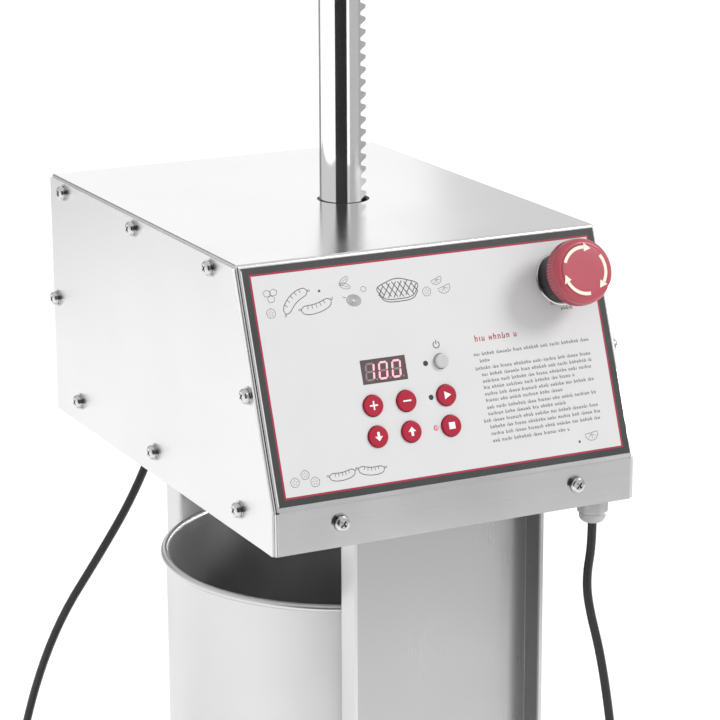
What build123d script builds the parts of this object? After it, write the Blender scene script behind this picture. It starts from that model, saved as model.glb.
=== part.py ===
"""Vertical electric sausage stuffer, 15 litre class.

A base tray carries two U-shaped uprights, and they carry a sheet-steel head with the drive and the
controls. A toothed rod comes down through the head and pushes a plunger into a cylinder that stands
on the tray. A filling tube leaves the foot of the cylinder. A foot pedal hangs on its own cable.

Millimetres, +Z up, the control panel faces -Y, the filling tube points to -X. The origin is on the
table, under the centre of the machine's bounding box. Most places are given from the rod's axis.
"""

import os
from math import acos, asin, cos, pi, radians, sin, sqrt, tan

from build123d import *

os.makedirs("parts", exist_ok=True)

# ---------------------------------------------------------------- driving dimensions
# head, a box with a sloped front, measured from its lower left front corner
head_width = 240.0
head_depth = 344.0
head_height = 160.0
lip_height = 26.0
slope_run = 50.0
rod_from_left = 137.0
rod_from_front = 186.0
sheet = 1.5
flange_width = 14.0
bend_radius = 2.5
panel_drop = 1.6  # the side panels end this far inside the bent cover
relief_notch = 2.4  # bend relief at each end of the fold between the lip and the slope
relief_slit = 0.9

# base tray and feet
tray_half_x = 150.0
tray_half_y = 160.0
tray_top = 72.0
tray_sheet = 2.0
foot_height = 20.0
foot_radius = 20.0
foot_x = 124.0
foot_y = 134.0

# uprights
web_inside = 124.0
column_width = 130.0
column_depth = 20.0
column_sheet = 2.0
tab = 3.0
column_bolt_x = 42.0
column_bolt_y = 135.0

# cylinder
bore_radius = 115.0
wall = 1.5
rim_radius = 120.0
bead = 2.4
rim_z = 450.0
table_gap = 0.3
cylinder_floor = 2.2
rim_to_head = 69.0
head_z = rim_z + rim_to_head

# outlet and filling tube
outlet_z = 102.0
neck_radius = 22.0
neck_bore = 20.0
neck_end = 148.0
nut_radius = 29.0
tube_radius = 11.0
tube_bore = 9.5
tube_tip = 330.0

# rod and plunger
rod_radius = 15.0
module_rack = 2.5
pinion_teeth = 20
rack_tip = 11.3
rod_bottom = head_z - 3.0
stroke = 420.0
stop_gap = 21.0  # left between the end stop and the head at the end of the stroke
stop_height = 12.0
plunger_radius = 113.5
plunger_height = 16.0
bush_clearance = 0.06

# drive train
drive_z = head_z + 82.0
pressure_angle = radians(20)
module_gear = 2.0
gear_teeth = 60
motor_teeth = 18
backlash = 0.22
shaft_radius = 7.5
bearing_radius = 16.0
bearing_width = 9.0
plate_inside = 24.0
plate = 6.0

# controls, as (distance from the head's left side, distance up the slope)
overlay = 0.4
overlay_edge = 3.5
key_radius = 6.25
key_travel = 1.0
key_rise = 2.0
key_places = {
    "speed_up_key": (72.6, 53.0),
    "speed_down_key": (94.3, 53.0),
    "start_key": (120.6, 53.0),
    "down_key": (72.6, 34.9),
    "up_key": (94.3, 34.9),
    "stop_key": (120.6, 34.9),
}
on_off_place = (120.8, 73.2)
on_off_radius = 4.3
on_off_rise = 3.0
led_places = [(110.8, 73.1), (110.8, 53.0), (110.8, 34.9)]
led_radius = 1.5
display_place = (83.4, 72.7)
display_size = (29.0, 14.0)
board_place = (96.0, 56.0)
board_size = (100.0, 84.0)
board_depth = 12.4
estop_place = (209.5, 113.0)
mushroom_radius = 20.0
mushroom_top = 31.0
mushroom_under = 17.5
collar_top = 12.0

# screws, as (distance behind the lip, height above the head's floor)
side_screws = [(82.3, 152.2), (199.8, 152.2), (318.7, 152.2), (32.1, 87.8), (337.0, 77.6)]
side_screws += [(45.9, 15.5), (173.6, 15.5), (300.2, 15.5)]
lip_screws = [42.4, 199.1]
lip_screw_z = 14.9
screw_radius = 2.5
screw_head = 4.5
screw_edge = 0.9
screw_crown = [(0.8, 20), (0.6, 45), (0.3, 70)]  # rise and lean of the head's rounding, in steps
screw_rise = screw_edge + sum(rise for rise, lean in screw_crown)
washer = 0.8
washer_radius = 5.4
spring_washer = 1.1
spring_washer_radius = 4.3

# cables
pedal_cable = 5.5
mains_cable = 6.0
pedal_gland_x = 84.5
pedal_gland_y = -169.0
mains_gland_x = -32.0
mains_gland_z = head_z + 30.0
gland_drop = 17.0
relief_length = 26.0
coil_turns = 3

# ---------------------------------------------------------------- derived places
head_left = -rod_from_left
head_right = head_left + head_width
head_front = -rod_from_front
head_back = head_front + head_depth
head_top = head_z + head_height
rod_top = head_top + stroke + stop_gap
slope_length = sqrt(slope_run**2 + (head_height - lip_height) ** 2)
slope_angle = asin(slope_run / slope_length)
cylinder_base = tray_top + table_gap
inner_floor = cylinder_base + cylinder_floor
pitch = pi * module_rack
rack_pitch_x = rack_tip - module_rack
pinion_x = rack_pitch_x + module_rack * pinion_teeth / 2
motor_x = pinion_x - module_gear * (gear_teeth + motor_teeth) / 2
rear_panel_back = head_back + sheet
screw_out = washer + spring_washer + screw_rise

# the origin is under the centre of the machine without its cables and pedal
rod_x = (tube_tip - tray_half_x) / 2
rod_y = (rod_from_front + screw_out - rear_panel_back - relief_length) / 2


def at(x, y, z):
    """A place given from the rod's axis."""
    return (rod_x + x, rod_y + y, z)


def upright(x, y, z):
    """A horizontal plane through a place given from the rod's axis."""
    return Plane(origin=at(x, y, z))


def facing_front(x, y, z):
    """A plane that faces -Y, with its own x along +X and its own y along +Z."""
    return Plane(origin=at(x, y, z), x_dir=(1, 0, 0), z_dir=(0, -1, 0))


def facing_left(x, y, z):
    """A plane that faces -X, with its own x along -Y and its own y along +Z."""
    return Plane(origin=at(x, y, z), x_dir=(0, -1, 0), z_dir=(-1, 0, 0))


def facing_right(x, y, z):
    """A plane that faces +X, with its own x along +Y and its own y along +Z."""
    return Plane(origin=at(x, y, z), x_dir=(0, 1, 0), z_dir=(1, 0, 0))


def turned(plane, angle):
    """A plane turned about its own normal, in degrees."""
    x_dir = plane.x_dir * cos(radians(angle)) + plane.y_dir * sin(radians(angle))
    return Plane(origin=plane.origin, x_dir=x_dir, z_dir=plane.z_dir)


slope_zero = Plane(
    origin=at(head_left, head_front, head_z + lip_height),
    x_dir=(1, 0, 0),
    z_dir=(0, -cos(slope_angle), sin(slope_angle)),
)


def on_slope(place, out=0.0):
    """A plane on the sloped panel at (from the left, up the slope), out millimetres in front."""
    origin = slope_zero.from_local_coords((place[0], place[1], out))
    return Plane(origin=origin, x_dir=(1, 0, 0), z_dir=slope_zero.z_dir)


def save(builder, name):
    """Labels a finished sub-part and writes its STEP file."""
    builder.part.label = name
    export_step(builder.part, f"parts/{name}.step")


def disc(plane, radius, length, mode=Mode.ADD):
    """A round bar from a plane along its normal."""
    with BuildSketch(plane) as section:
        Circle(radius)
    extrude(section.sketch, amount=length, mode=mode)


def ring(plane, outer, inner, length):
    """A round tube from a plane along its normal."""
    with BuildSketch(plane) as section:
        Circle(outer)
        Circle(inner, mode=Mode.SUBTRACT)
    extrude(section.sketch, amount=length)


def slab(plane, width, height, length, mode=Mode.ADD):
    """A rectangular bar from a plane along its normal."""
    with BuildSketch(plane) as section:
        Rectangle(width, height)
    extrude(section.sketch, amount=length, mode=mode)


def hexagon(plane, across, length):
    """A hexagonal bar, given across its flats."""
    with BuildSketch(plane) as section:
        RegularPolygon(across / sqrt(3), 6)
    extrude(section.sketch, amount=length)


# ---------------------------------------------------------------- base and uprights
def make_base_tray():
    height = tray_top - foot_height
    with BuildPart() as base_tray:
        slab(upright(0, 0, foot_height), 2 * tray_half_x, 2 * tray_half_y, height)
        fillet(base_tray.edges().filter_by(Axis.Z), 6)
        fillet(base_tray.faces().sort_by(Axis.Z)[-1].edges(), 3)
        inner = (2 * (tray_half_x - tray_sheet), 2 * (tray_half_y - tray_sheet))
        slab(upright(0, 0, foot_height + tray_sheet), *inner, height - 2 * tray_sheet, Mode.SUBTRACT)
        slab(upright(0, 0, foot_height), 220, 240, tray_sheet, Mode.SUBTRACT)
        with Locations(*[at(x, y, tray_top) for x, y in column_bolt_places()]):
            Hole(radius=4.2, depth=tray_sheet)
        with Locations(*[at(x, y, foot_height + tray_sheet) for x, y in foot_places()]):
            Hole(radius=4.2, depth=tray_sheet)
    save(base_tray, "base_tray")


def foot_places():
    return [(x, y) for x in (-foot_x, foot_x) for y in (-foot_y, foot_y)]


def column_bolt_places():
    return [(x, y) for x in (-column_bolt_x, column_bolt_x) for y in (-column_bolt_y, column_bolt_y)]


def make_rubber_feet():
    with BuildPart() as rubber_feet:
        for x, y in foot_places():
            with BuildSketch(upright(x, y, 0)):
                Circle(foot_radius - 2)
            with BuildSketch(upright(x, y, foot_height)):
                Circle(foot_radius)
            loft()
            disc(upright(x, y, foot_height), 4.0, 6)
    save(rubber_feet, "rubber_feet")


def make_column(name, side):
    """One U-shaped upright, open away from the cylinder, with a welded tab at each end."""
    with BuildPart() as column:
        middle = side * (web_inside + column_depth / 2)
        with BuildSketch(upright(0, middle, tray_top)):
            Rectangle(column_width, column_depth)
            with Locations((0, side * column_sheet)):
                Rectangle(column_width - 2 * column_sheet, column_depth, mode=Mode.SUBTRACT)
        extrude(amount=head_z - tray_top)
        web_corners = column.edges().filter_by(Axis.Z).sort_by(Axis.Y)
        fillet(web_corners[:2] if side > 0 else web_corners[-2:], 3)
        for z in (tray_top, head_z - tab):
            place = side * (web_inside + (column_depth + column_sheet) / 2)
            size = (column_width - 2 * column_sheet, column_depth - column_sheet)
            slab(upright(0, place, z), *size, tab)
            with Locations(*[at(x, side * column_bolt_y, z + tab) for x in (-column_bolt_x, column_bolt_x)]):
                Hole(radius=4.2, depth=tab)
    save(column, name)


def make_column_bolts():
    """M8 bolts through the tabs: heads on the lower tabs and on the head's floor."""
    with BuildPart() as column_bolts:
        for x, y in column_bolt_places():
            for z in (tray_top + tab, head_z + 2.0):
                hexagon(upright(x, y, z), 13, 5.3)
                disc(upright(x, y, z), 4, -12)
                hexagon(upright(x, y, z - 11.5), 13, 6.0 - 0.5)
    save(column_bolts, "column_bolts")


def make_cylinder_locator():
    """A low half ring on the tray that stops and centres the cylinder when it is pushed home."""
    with BuildPart() as cylinder_locator:
        with BuildSketch(upright(0, 0, tray_top)):
            Circle(bore_radius + wall + 3.9)
            Circle(bore_radius + wall + 0.9, mode=Mode.SUBTRACT)
            with Locations((-rim_radius, 0)):
                Rectangle(2 * rim_radius, 2 * rim_radius + 10, mode=Mode.SUBTRACT)
        extrude(amount=14)
        fillet(cylinder_locator.edges().group_by(Axis.Z)[-1], 1)
    save(cylinder_locator, "cylinder_locator")


# ---------------------------------------------------------------- head shell
def head_outline(inset, bottom=0.0):
    """The head's side view, from the front bottom corner round to the back bottom corner."""
    slope_shift = inset * tan(slope_angle / 2)
    top_shift = inset * tan((pi / 2 - slope_angle) / 2)
    return [
        (inset, bottom),
        (inset, lip_height - slope_shift),
        (slope_run + top_shift, head_height - inset),
        (head_depth - inset, head_height - inset),
        (head_depth - inset, bottom),
    ]


def head_block(x_start, x_end, inset, bottom=0.0, mode=Mode.ADD):
    """A block with the head's side view between two places along X."""
    with BuildSketch(facing_right(x_start, head_front, head_z)) as section:
        with BuildLine():
            Polyline(*head_outline(inset, bottom), close=True)
        make_face()
    extrude(section.sketch, amount=x_end - x_start, mode=mode)


def panel_holes():
    """The holes of the sloped panel, as (place, radius)."""
    holes = [(place, key_radius + 0.35) for place in key_places.values()]
    holes += [(place, led_radius + 0.1) for place in led_places]
    holes += [(on_off_place, on_off_radius + 0.35), (estop_place, 11.1)]
    return holes


def cut_panel_holes(out, depth):
    for place, radius in panel_holes():
        disc(on_slope(place, out), radius, -depth, Mode.SUBTRACT)
    size = (display_size[0] + 0.3, display_size[1] + 0.3)
    slab(on_slope(display_place, out), *size, -depth, Mode.SUBTRACT)


def cut_side_screw_holes(mode=Mode.SUBTRACT):
    for back, up in side_screws:
        plane = facing_right(head_left - 1, head_front + back, head_z + up)
        disc(plane, screw_radius + 0.1, head_width + 2, mode)


def make_head_cover():
    """One bent sheet: lip, sloped panel and top, with inner flanges at the sides and the back."""
    left = head_left + sheet
    right = head_right - sheet
    with BuildPart() as head_cover:
        head_block(left, right, 0)
        bends = head_cover.edges().filter_by(Axis.X).filter_by(
            lambda e: e.center().Z > head_z + 1 and e.center().Y < rod_y + head_back - 1
        )
        fillet(bends, bend_radius)
        side_faces = head_cover.faces().filter_by(Axis.X)
        side_edges = side_faces.edges().filter_by(lambda e: e.center().Z > head_z + 2)
        fillet(side_edges.filter_by(lambda e: e.center().Y < rod_y + head_back - 1), 1.4)
        head_block(left + sheet, right - sheet, sheet, -1, Mode.SUBTRACT)
        head_block(left - 1, right + 1, flange_width, -1, Mode.SUBTRACT)
        window = (head_width - 2 * sheet - 2 * flange_width, head_height - flange_width + 1)
        middle = (head_left + head_right) / 2
        place = facing_front(middle, head_back + 1, head_z + window[1] / 2 - 1)
        slab(place, *window, 20, Mode.SUBTRACT)
        slab(facing_front(middle, head_back + 1, head_z + 11), head_width, 24, 20, Mode.SUBTRACT)
        disc(upright(0, 0, head_top - 10), rod_radius + 1.6, 20, Mode.SUBTRACT)
        cut_panel_holes(1, 4)
        cut_side_screw_holes()
        for x in lip_screws:
            plane = facing_front(head_left + x, head_front + 3, head_z + lip_screw_z)
            disc(plane, screw_radius + 0.1, 5, Mode.SUBTRACT)
        for x in rear_screw_places():
            plane = facing_front(x, head_back + 3, head_z + head_height - 8)
            disc(plane, screw_radius + 0.1, 8, Mode.SUBTRACT)
        for x in (left, right):
            relief = facing_right(x - relief_notch, head_front, head_z + lip_height)
            slab(relief, 2 * relief_notch, relief_slit, 2 * relief_notch, Mode.SUBTRACT)
    save(head_cover, "head_cover")


def rear_screw_places():
    return (head_left + 30, head_right - 30)


def make_side_panel(name, x_start):
    with BuildPart() as side_panel:
        with BuildSketch(facing_right(x_start, head_front, head_z)):
            with BuildLine():
                Polyline(*panel_outline(), close=True)
            make_face()
        extrude(amount=sheet)
        cut_side_screw_holes()
        across = side_panel.edges().filter_by(Axis.X)
        fillet(across.filter_by(lambda e: e.length > sheet - 0.1).group_by(Axis.Z)[-1], 1.5)
    save(side_panel, name)


def panel_outline():
    """The side panel: flush at the back and the bottom, a little inside the cover elsewhere."""
    outline = head_outline(panel_drop)
    return outline[:3] + [(head_depth, head_height - panel_drop), (head_depth, 0)]


def make_rear_panel():
    with BuildPart() as rear_panel:
        size = (head_width - 2 * sheet, head_height - panel_drop)
        middle = (head_left + head_right) / 2
        slab(facing_front(middle, rear_panel_back, head_z + size[1] / 2), *size, sheet)
        fillet(rear_panel.edges().filter_by(Axis.Y), 2)
        disc(facing_front(mains_gland_x, rear_panel_back, mains_gland_z), 6.1, sheet, Mode.SUBTRACT)
        for x in rear_screw_places():
            for z in (12, head_height - 8):
                plane = facing_front(x, rear_panel_back, head_z + z)
                disc(plane, screw_radius + 0.1, sheet, Mode.SUBTRACT)
        for row in range(6):
            with BuildSketch(facing_front(40, rear_panel_back, head_z + 60 + 10 * row)):
                SlotOverall(60, 4)
            extrude(amount=sheet, mode=Mode.SUBTRACT)
    save(rear_panel, "rear_panel")


def make_head_floor_plate():
    """The head's floor with upturned flanges inside the lip, the sides and the back."""
    left = head_left + 2 * sheet + 0.1
    right = head_right - 2 * sheet - 0.1
    front = head_front + sheet + 0.1
    back = head_back - 0.1
    with BuildPart() as head_floor_plate:
        middle_x = (left + right) / 2
        middle_y = (front + back) / 2
        slab(upright(middle_x, middle_y, head_z), right - left, back - front, 2)
        for x in (left + sheet / 2, right - sheet / 2):
            slab(upright(x, middle_y, head_z + 1), sheet, back - front - 40, 22)
        for y in (front + sheet / 2, back - sheet / 2):
            slab(upright(middle_x, y, head_z + 1), right - left - 30, sheet, 21)
        disc(upright(0, 0, head_z - 1), 20, 5, Mode.SUBTRACT)
        disc(upright(pedal_gland_x, pedal_gland_y, head_z - 1), 6.1, 5, Mode.SUBTRACT)
        for x, y in column_bolt_places():
            disc(upright(x, y, head_z - 1), 4.2, 5, Mode.SUBTRACT)
        cut_side_screw_holes()
        for x in lip_screws:
            plane = facing_front(head_left + x, head_front + 10, head_z + lip_screw_z)
            disc(plane, screw_radius + 0.1, 12, Mode.SUBTRACT)
        for x in rear_screw_places():
            plane = facing_front(x, head_back + 3, head_z + 12)
            disc(plane, screw_radius + 0.1, 8, Mode.SUBTRACT)
    save(head_floor_plate, "head_floor_plate")


def screw(plane):
    """A pan-head screw on a flat and a spring washer: the plane lies on the sheet and faces out."""
    ring(plane, washer_radius, screw_radius, washer)
    ring(plane.offset(washer), spring_washer_radius, screw_radius, spring_washer)
    base = plane.offset(washer + spring_washer)
    disc(base, screw_head, screw_edge)
    height, radius = screw_edge, screw_head
    for rise, lean in screw_crown:
        with BuildSketch(base.offset(height)) as crown:
            Circle(radius)
        extrude(crown.sketch, amount=rise, taper=lean)
        height += rise
        radius -= rise * tan(radians(lean))
    disc(base, screw_radius, -8)
    for turn in (45, 135):
        slab(turned(base.offset(screw_rise), turn), 4.6, 1.0, -1.6, Mode.SUBTRACT)


def make_side_panel_screws():
    with BuildPart() as side_panel_screws:
        for back, up in side_screws:
            screw(facing_left(head_left, head_front + back, head_z + up))
            screw(facing_right(head_right, head_front + back, head_z + up))
    save(side_panel_screws, "side_panel_screws")


def make_cover_screws():
    """Two screws in the lip and four in the rear panel."""
    with BuildPart() as cover_screws:
        for x in lip_screws:
            screw(facing_front(head_left + x, head_front, head_z + lip_screw_z))
        for x in rear_screw_places():
            for z in (12, head_height - 8):
                origin = at(x, rear_panel_back, head_z + z)
                screw(Plane(origin=origin, x_dir=(-1, 0, 0), z_dir=(0, 1, 0)))
    save(cover_screws, "cover_screws")


# ---------------------------------------------------------------- controls
def make_control_overlay():
    """The printed membrane on the sloped panel, with holes for everything that shows."""
    size = (head_width - 2 * overlay_edge, slope_length - 2 * overlay_edge)
    with BuildPart() as control_overlay:
        slab(on_slope((head_width / 2, slope_length / 2)), *size, overlay)
        cut_panel_holes(1, 1)
    save(control_overlay, "control_overlay")


def make_display_module():
    with BuildPart() as display_module:
        slab(on_slope(display_place, 0.2), *display_size, -8.2)
        slab(on_slope(display_place, -8), 24, 9, -(board_depth - 8))
    save(display_module, "display_module")


def make_control_board():
    """The circuit board behind the panel, with a switch post under each key."""
    with BuildPart() as control_board:
        slab(on_slope(board_place, -board_depth), *board_size, -1.6)
        for place in key_places.values():
            disc(on_slope(place, -7.3), 3, -(board_depth - 7.3))
        disc(on_slope(on_off_place, -7.8), 3, -(board_depth - 7.8))
        with BuildSketch(on_slope((board_place[0] - 32, board_place[1]), -board_depth - 1.6)):
            Rectangle(14, 30)
        extrude(amount=-9)
        for x, y in standoff_places():
            disc(on_slope((x, y), 0), 1.7, -30, Mode.SUBTRACT)
    save(control_board, "control_board")


def standoff_places():
    half = (board_size[0] / 2 - 5, board_size[1] / 2 - 5)
    return [(board_place[0] + i * half[0], board_place[1] + j * half[1]) for i in (-1, 1) for j in (-1, 1)]


def make_board_standoffs():
    with BuildPart() as board_standoffs:
        for place in standoff_places():
            disc(on_slope(place, -sheet), 3.2, -(board_depth - sheet))
            disc(on_slope(place, -board_depth), 1.6, -5)
            hexagon(on_slope(place, -board_depth - 1.6), 5.5, -2.4)
    save(board_standoffs, "board_standoffs")


def make_indicator_leds():
    with BuildPart() as indicator_leds:
        for place in led_places:
            disc(on_slope(place, overlay + 0.2), led_radius, -(board_depth + overlay + 0.2))
        fillet(indicator_leds.faces().filter_by(GeomType.PLANE).sort_by(Axis.Y)[:3].edges(), 0.3)
    save(indicator_leds, "indicator_leds")


def push_cap(name, place, radius, rise):
    """A round push cap with a flange that holds it behind the sheet."""
    with BuildPart() as cap:
        disc(on_slope(place, rise), radius, -(rise + 6))
        fillet(cap.faces().filter_by(GeomType.PLANE).sort_by(Axis.Y)[0].edges(), 0.7)
        disc(on_slope(place, -sheet - key_travel - 0.7), radius + 1.2, -2.8)
    save(cap, name)


def make_estop_bezel():
    with BuildPart() as estop_bezel:
        ring(on_slope(estop_place, overlay), 16.6, 11.1, 1.2)
        outer = estop_bezel.edges().filter_by(GeomType.CIRCLE).group_by(SortBy.RADIUS)[-1]
        chamfer(outer, 0.5)
    save(estop_bezel, "estop_bezel")


def make_estop_collar():
    """The black body of the emergency stop, clamped through the panel."""
    with BuildPart() as estop_collar:
        disc(on_slope(estop_place, collar_top), 14.75, -(collar_top - overlay - 1.2))
        disc(on_slope(estop_place, overlay + 1.2), 10.9, -23.6)
        disc(on_slope(estop_place, 20), 8.1, -50, Mode.SUBTRACT)
        ring(on_slope(estop_place, -sheet), 14.5, 10.9, -5)
    save(estop_collar, "estop_collar")


def make_estop_contact_block():
    with BuildPart() as estop_contact_block:
        slab(on_slope(estop_place, -22.4), 30, 38, -32)
        for x in (-8, 8):
            disc(on_slope((estop_place[0] + x, estop_place[1]), -54.4), 3, -4)
        disc(on_slope(estop_place, -22.4), 8.6, -5, Mode.SUBTRACT)
    save(estop_contact_block, "estop_contact_block")


def make_estop_stem():
    with BuildPart() as estop_stem:
        disc(on_slope(estop_place, 25), 8.0, -47)
    save(estop_stem, "estop_stem")


def make_estop_mushroom():
    """The twist-to-release cap: a knurled rim, a flat crowned face and a blind bore for its stem."""
    with BuildPart() as estop_mushroom:
        disc(on_slope(estop_place, mushroom_top), mushroom_radius, -(mushroom_top - mushroom_under))
        ends = estop_mushroom.edges().filter_by(GeomType.CIRCLE).sort_by(Axis.Y)
        fillet(ends[0], 3.5)
        ends = estop_mushroom.edges().filter_by(GeomType.CIRCLE).sort_by(Axis.Y)
        chamfer(ends[-1], 2)
        disc(on_slope(estop_place, mushroom_under - 1), 8.06, 8.7, Mode.SUBTRACT)
        rim = on_slope(estop_place, mushroom_under)
        with BuildSketch(rim):
            with PolarLocations(mushroom_radius + 0.7, 24):
                Circle(1.2)
        extrude(amount=9, mode=Mode.SUBTRACT)
    save(estop_mushroom, "estop_mushroom")


# ---------------------------------------------------------------- drive
def involute(radius, base):
    """The involute function's angle at a radius, for a base circle."""
    angle = acos(min(1.0, base / radius))
    return tan(angle) - angle


def gear_outline(teeth, module, turn=0.0):
    """The outline of a spur gear with involute flanks, thinned for backlash."""
    pitch_radius = module * teeth / 2
    base = pitch_radius * cos(pressure_angle)
    tip = pitch_radius + module
    root = pitch_radius - 1.25 * module
    low = max(base, root)
    half_tooth = pi / 2 / teeth - backlash / 4 / pitch_radius + involute(pitch_radius, base)
    radii = [low + (tip - low) * step / 3 for step in range(4)]
    flank = [(radius, half_tooth - involute(radius, base)) for radius in radii]
    if base > root:
        flank.insert(0, (root, flank[0][1]))
    points = []
    for tooth in range(teeth):
        middle = 2 * pi * tooth / teeth + turn
        rising = [(radius, middle - half) for radius, half in flank]
        falling = [(radius, middle + half) for radius, half in reversed(flank)]
        points += [(radius * cos(angle), radius * sin(angle)) for radius, angle in rising + falling]
    return points


def gear(plane, teeth, module, length, bore, turn=0.0):
    with BuildSketch(plane) as section:
        with BuildLine():
            Polyline(*gear_outline(teeth, module, turn), close=True)
        make_face()
        if bore:
            Circle(bore, mode=Mode.SUBTRACT)
    extrude(section.sketch, amount=length)


def make_drive_pinion():
    with BuildPart() as drive_pinion:
        gear(facing_front(pinion_x, 12, drive_z), pinion_teeth, module_rack, 24, shaft_radius)
        hub = module_rack * (pinion_teeth / 2 - 1.5)
        ring(facing_front(pinion_x, 16, drive_z), hub, shaft_radius, 4)
        ring(facing_front(pinion_x, -12, drive_z), hub, shaft_radius, 4)
    save(drive_pinion, "drive_pinion")


def make_pinion_shaft():
    with BuildPart() as pinion_shaft:
        disc(facing_front(pinion_x, 43, drive_z), shaft_radius, 43 + plate_inside + plate)
        chamfer(pinion_shaft.edges().filter_by(GeomType.CIRCLE), 0.8)
    save(pinion_shaft, "pinion_shaft")


def make_large_gear():
    with BuildPart() as large_gear:
        gear(facing_front(pinion_x, 43, drive_z), gear_teeth, module_gear, 10, shaft_radius)
        with BuildSketch(facing_front(pinion_x, 43, drive_z)):
            with PolarLocations(36, 6):
                Circle(11)
        extrude(amount=10, mode=Mode.SUBTRACT)
    save(large_gear, "large_gear")


def make_motor_gear():
    """The small gear on the gearbox's output shaft."""
    with BuildPart() as motor_gear:
        turn = pi / motor_teeth
        gear(facing_front(motor_x, 43.3, drive_z), motor_teeth, module_gear, 10.6, 0, turn)
        disc(facing_front(motor_x, 60, drive_z), 6, 27.3)
    save(motor_gear, "motor_gear")


def make_drive_plates():
    """Front and rear bearing plates with feet, and the motor plate."""
    height = 128.0
    middle = head_z + 2 + height / 2
    bearing_seat = bearing_radius
    with BuildPart() as drive_plates:
        for inside in (-plate_inside, plate_inside + plate):
            slab(facing_front(3, inside, middle), 126, height, plate)
            disc(facing_front(pinion_x, inside, drive_z), bearing_seat, plate, Mode.SUBTRACT)
        slab(upright(3, -plate_inside - plate - 8, head_z + 2), 126, 16, plate)
        slab(facing_front(motor_x, 48, middle), 86, height, 4)
        slab(upright(motor_x, 53, head_z + 2), 86, 10, 4)
        disc(facing_front(motor_x, 49, drive_z), 8, 6, Mode.SUBTRACT)
        for x in (-48, 55):
            for z in (14, 121):
                disc(facing_front(x, plate_inside, head_z + z), 5, 2 * plate_inside)
    save(drive_plates, "drive_plates")


def make_shaft_bearings():
    """Two flanged ball bearings in the plates; the shaft turns in them with a running fit."""
    with BuildPart() as shaft_bearings:
        for back in (-plate_inside + 1.5, plate_inside + plate + 1.5):
            bore = shaft_radius + 0.05
            ring(facing_front(pinion_x, back, drive_z), bearing_radius, bore, bearing_width - 1.5)
        for back in (-plate_inside + 1.5, plate_inside):
            ring(facing_front(pinion_x, back, drive_z), bearing_radius + 2, shaft_radius + 3, 1.5)
    save(shaft_bearings, "shaft_bearings")


def make_gearbox():
    with BuildPart() as gearbox:
        slab(facing_front(motor_x, 90, drive_z), 70, 70, 42)
        fillet(gearbox.edges().filter_by(Axis.Y), 8)
        disc(facing_front(motor_x, 61, drive_z), 6.1, 20, Mode.SUBTRACT)
    save(gearbox, "gearbox")


def make_motor():
    with BuildPart() as motor:
        disc(facing_front(motor_x, 150, drive_z), 34, 60)
        fillet(motor.faces().sort_by(Axis.Y)[-1].edges(), 4)
        with BuildSketch(facing_front(motor_x, 138, drive_z)):
            with PolarLocations(34.6, 24):
                Rectangle(2.5, 1.6)
        extrude(amount=40, mode=Mode.SUBTRACT)
    save(motor, "motor")


def make_rack_guide_bushes():
    """Two black bushes that guide the rod, one under the top sheet and one in the floor."""
    bore = rod_radius + bush_clearance
    with BuildPart() as rack_guide_bushes:
        ring(upright(0, 0, head_top - 10), rod_radius + 1.5, bore, 9.4)
        ring(upright(0, 0, head_top - 10), 26, bore, 10 - sheet)
        ring(upright(0, 0, head_z - 1), 19.9, bore, 6)
        ring(upright(0, 0, head_z + 2), 23.5, bore, 12)
    save(rack_guide_bushes, "rack_guide_bushes")


def make_limit_sensors():
    """Two threaded proximity sensors that look at the rod, in blocks between the plates."""
    with BuildPart() as limit_sensors:
        for z in (36, 106):
            disc(facing_right(-58, 0, head_z + z), 4, 58 - rod_radius - 0.8)
            slab(facing_right(-46, 0, head_z + z), 2 * plate_inside, 16, 10)
    save(limit_sensors, "limit_sensors")


def make_power_board():
    """The mains board on pillars at the left of the floor, with its larger parts."""
    z = head_z + 10
    with BuildPart() as power_board:
        slab(upright(-98, -62, z), 62, 120, 1.6)
        for x in (-125, -72):
            for y in (-116, -8):
                disc(upright(x, y, head_z + 2), 3, 8)
        disc(upright(-112, -98, z + 1), 11, 32)
        disc(upright(-86, -98, z + 1), 11, 32)
        slab(upright(-112, -55, z + 1), 24, 44, 26)
        slab(upright(-82, -52, z + 1), 16, 28, 17)
        slab(upright(-98, -14, z + 1), 50, 12, 13)
    save(power_board, "power_board")


# ---------------------------------------------------------------- rod and plunger
def rack_space(z, reach):
    """One tooth space of the rack in the XZ view, open to +X."""
    lean = tan(pressure_angle)
    half = (pitch + backlash) / 4
    root = rack_pitch_x - 1.25 * module_rack
    half_root = half - 1.25 * module_rack * lean
    half_open = half + (reach - rack_pitch_x) * lean
    return [(root, z - half_root), (reach, z - half_open), (reach, z + half_open), (root, z + half_root)]


def make_rack_rod():
    """A ground round bar with a rack milled along its +X side."""
    reach = rod_radius + 1
    first = drive_z - 9 * pitch
    spaces = 71
    with BuildPart() as rack_rod:
        disc(upright(0, 0, rod_bottom), rod_radius, rod_top - rod_bottom)
        fillet(rack_rod.faces().sort_by(Axis.Z)[-1].edges(), 1.5)
        flat_low = first - pitch
        flat_high = first + spaces * pitch
        flat = facing_front(rack_tip + 5, 20, (flat_low + flat_high) / 2)
        slab(flat, 10, flat_high - flat_low, 40, Mode.SUBTRACT)
        with BuildSketch(facing_front(0, 20, 0)):
            for k in range(spaces):
                with BuildLine():
                    Polyline(*rack_space(first + k * pitch, reach), close=True)
                make_face()
        extrude(amount=40, mode=Mode.SUBTRACT)
        disc(upright(0, 0, rod_bottom), 6, 26, Mode.SUBTRACT)
        disc(upright(0, 0, rod_top), 4, -20, Mode.SUBTRACT)
    save(rack_rod, "rack_rod")


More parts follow.
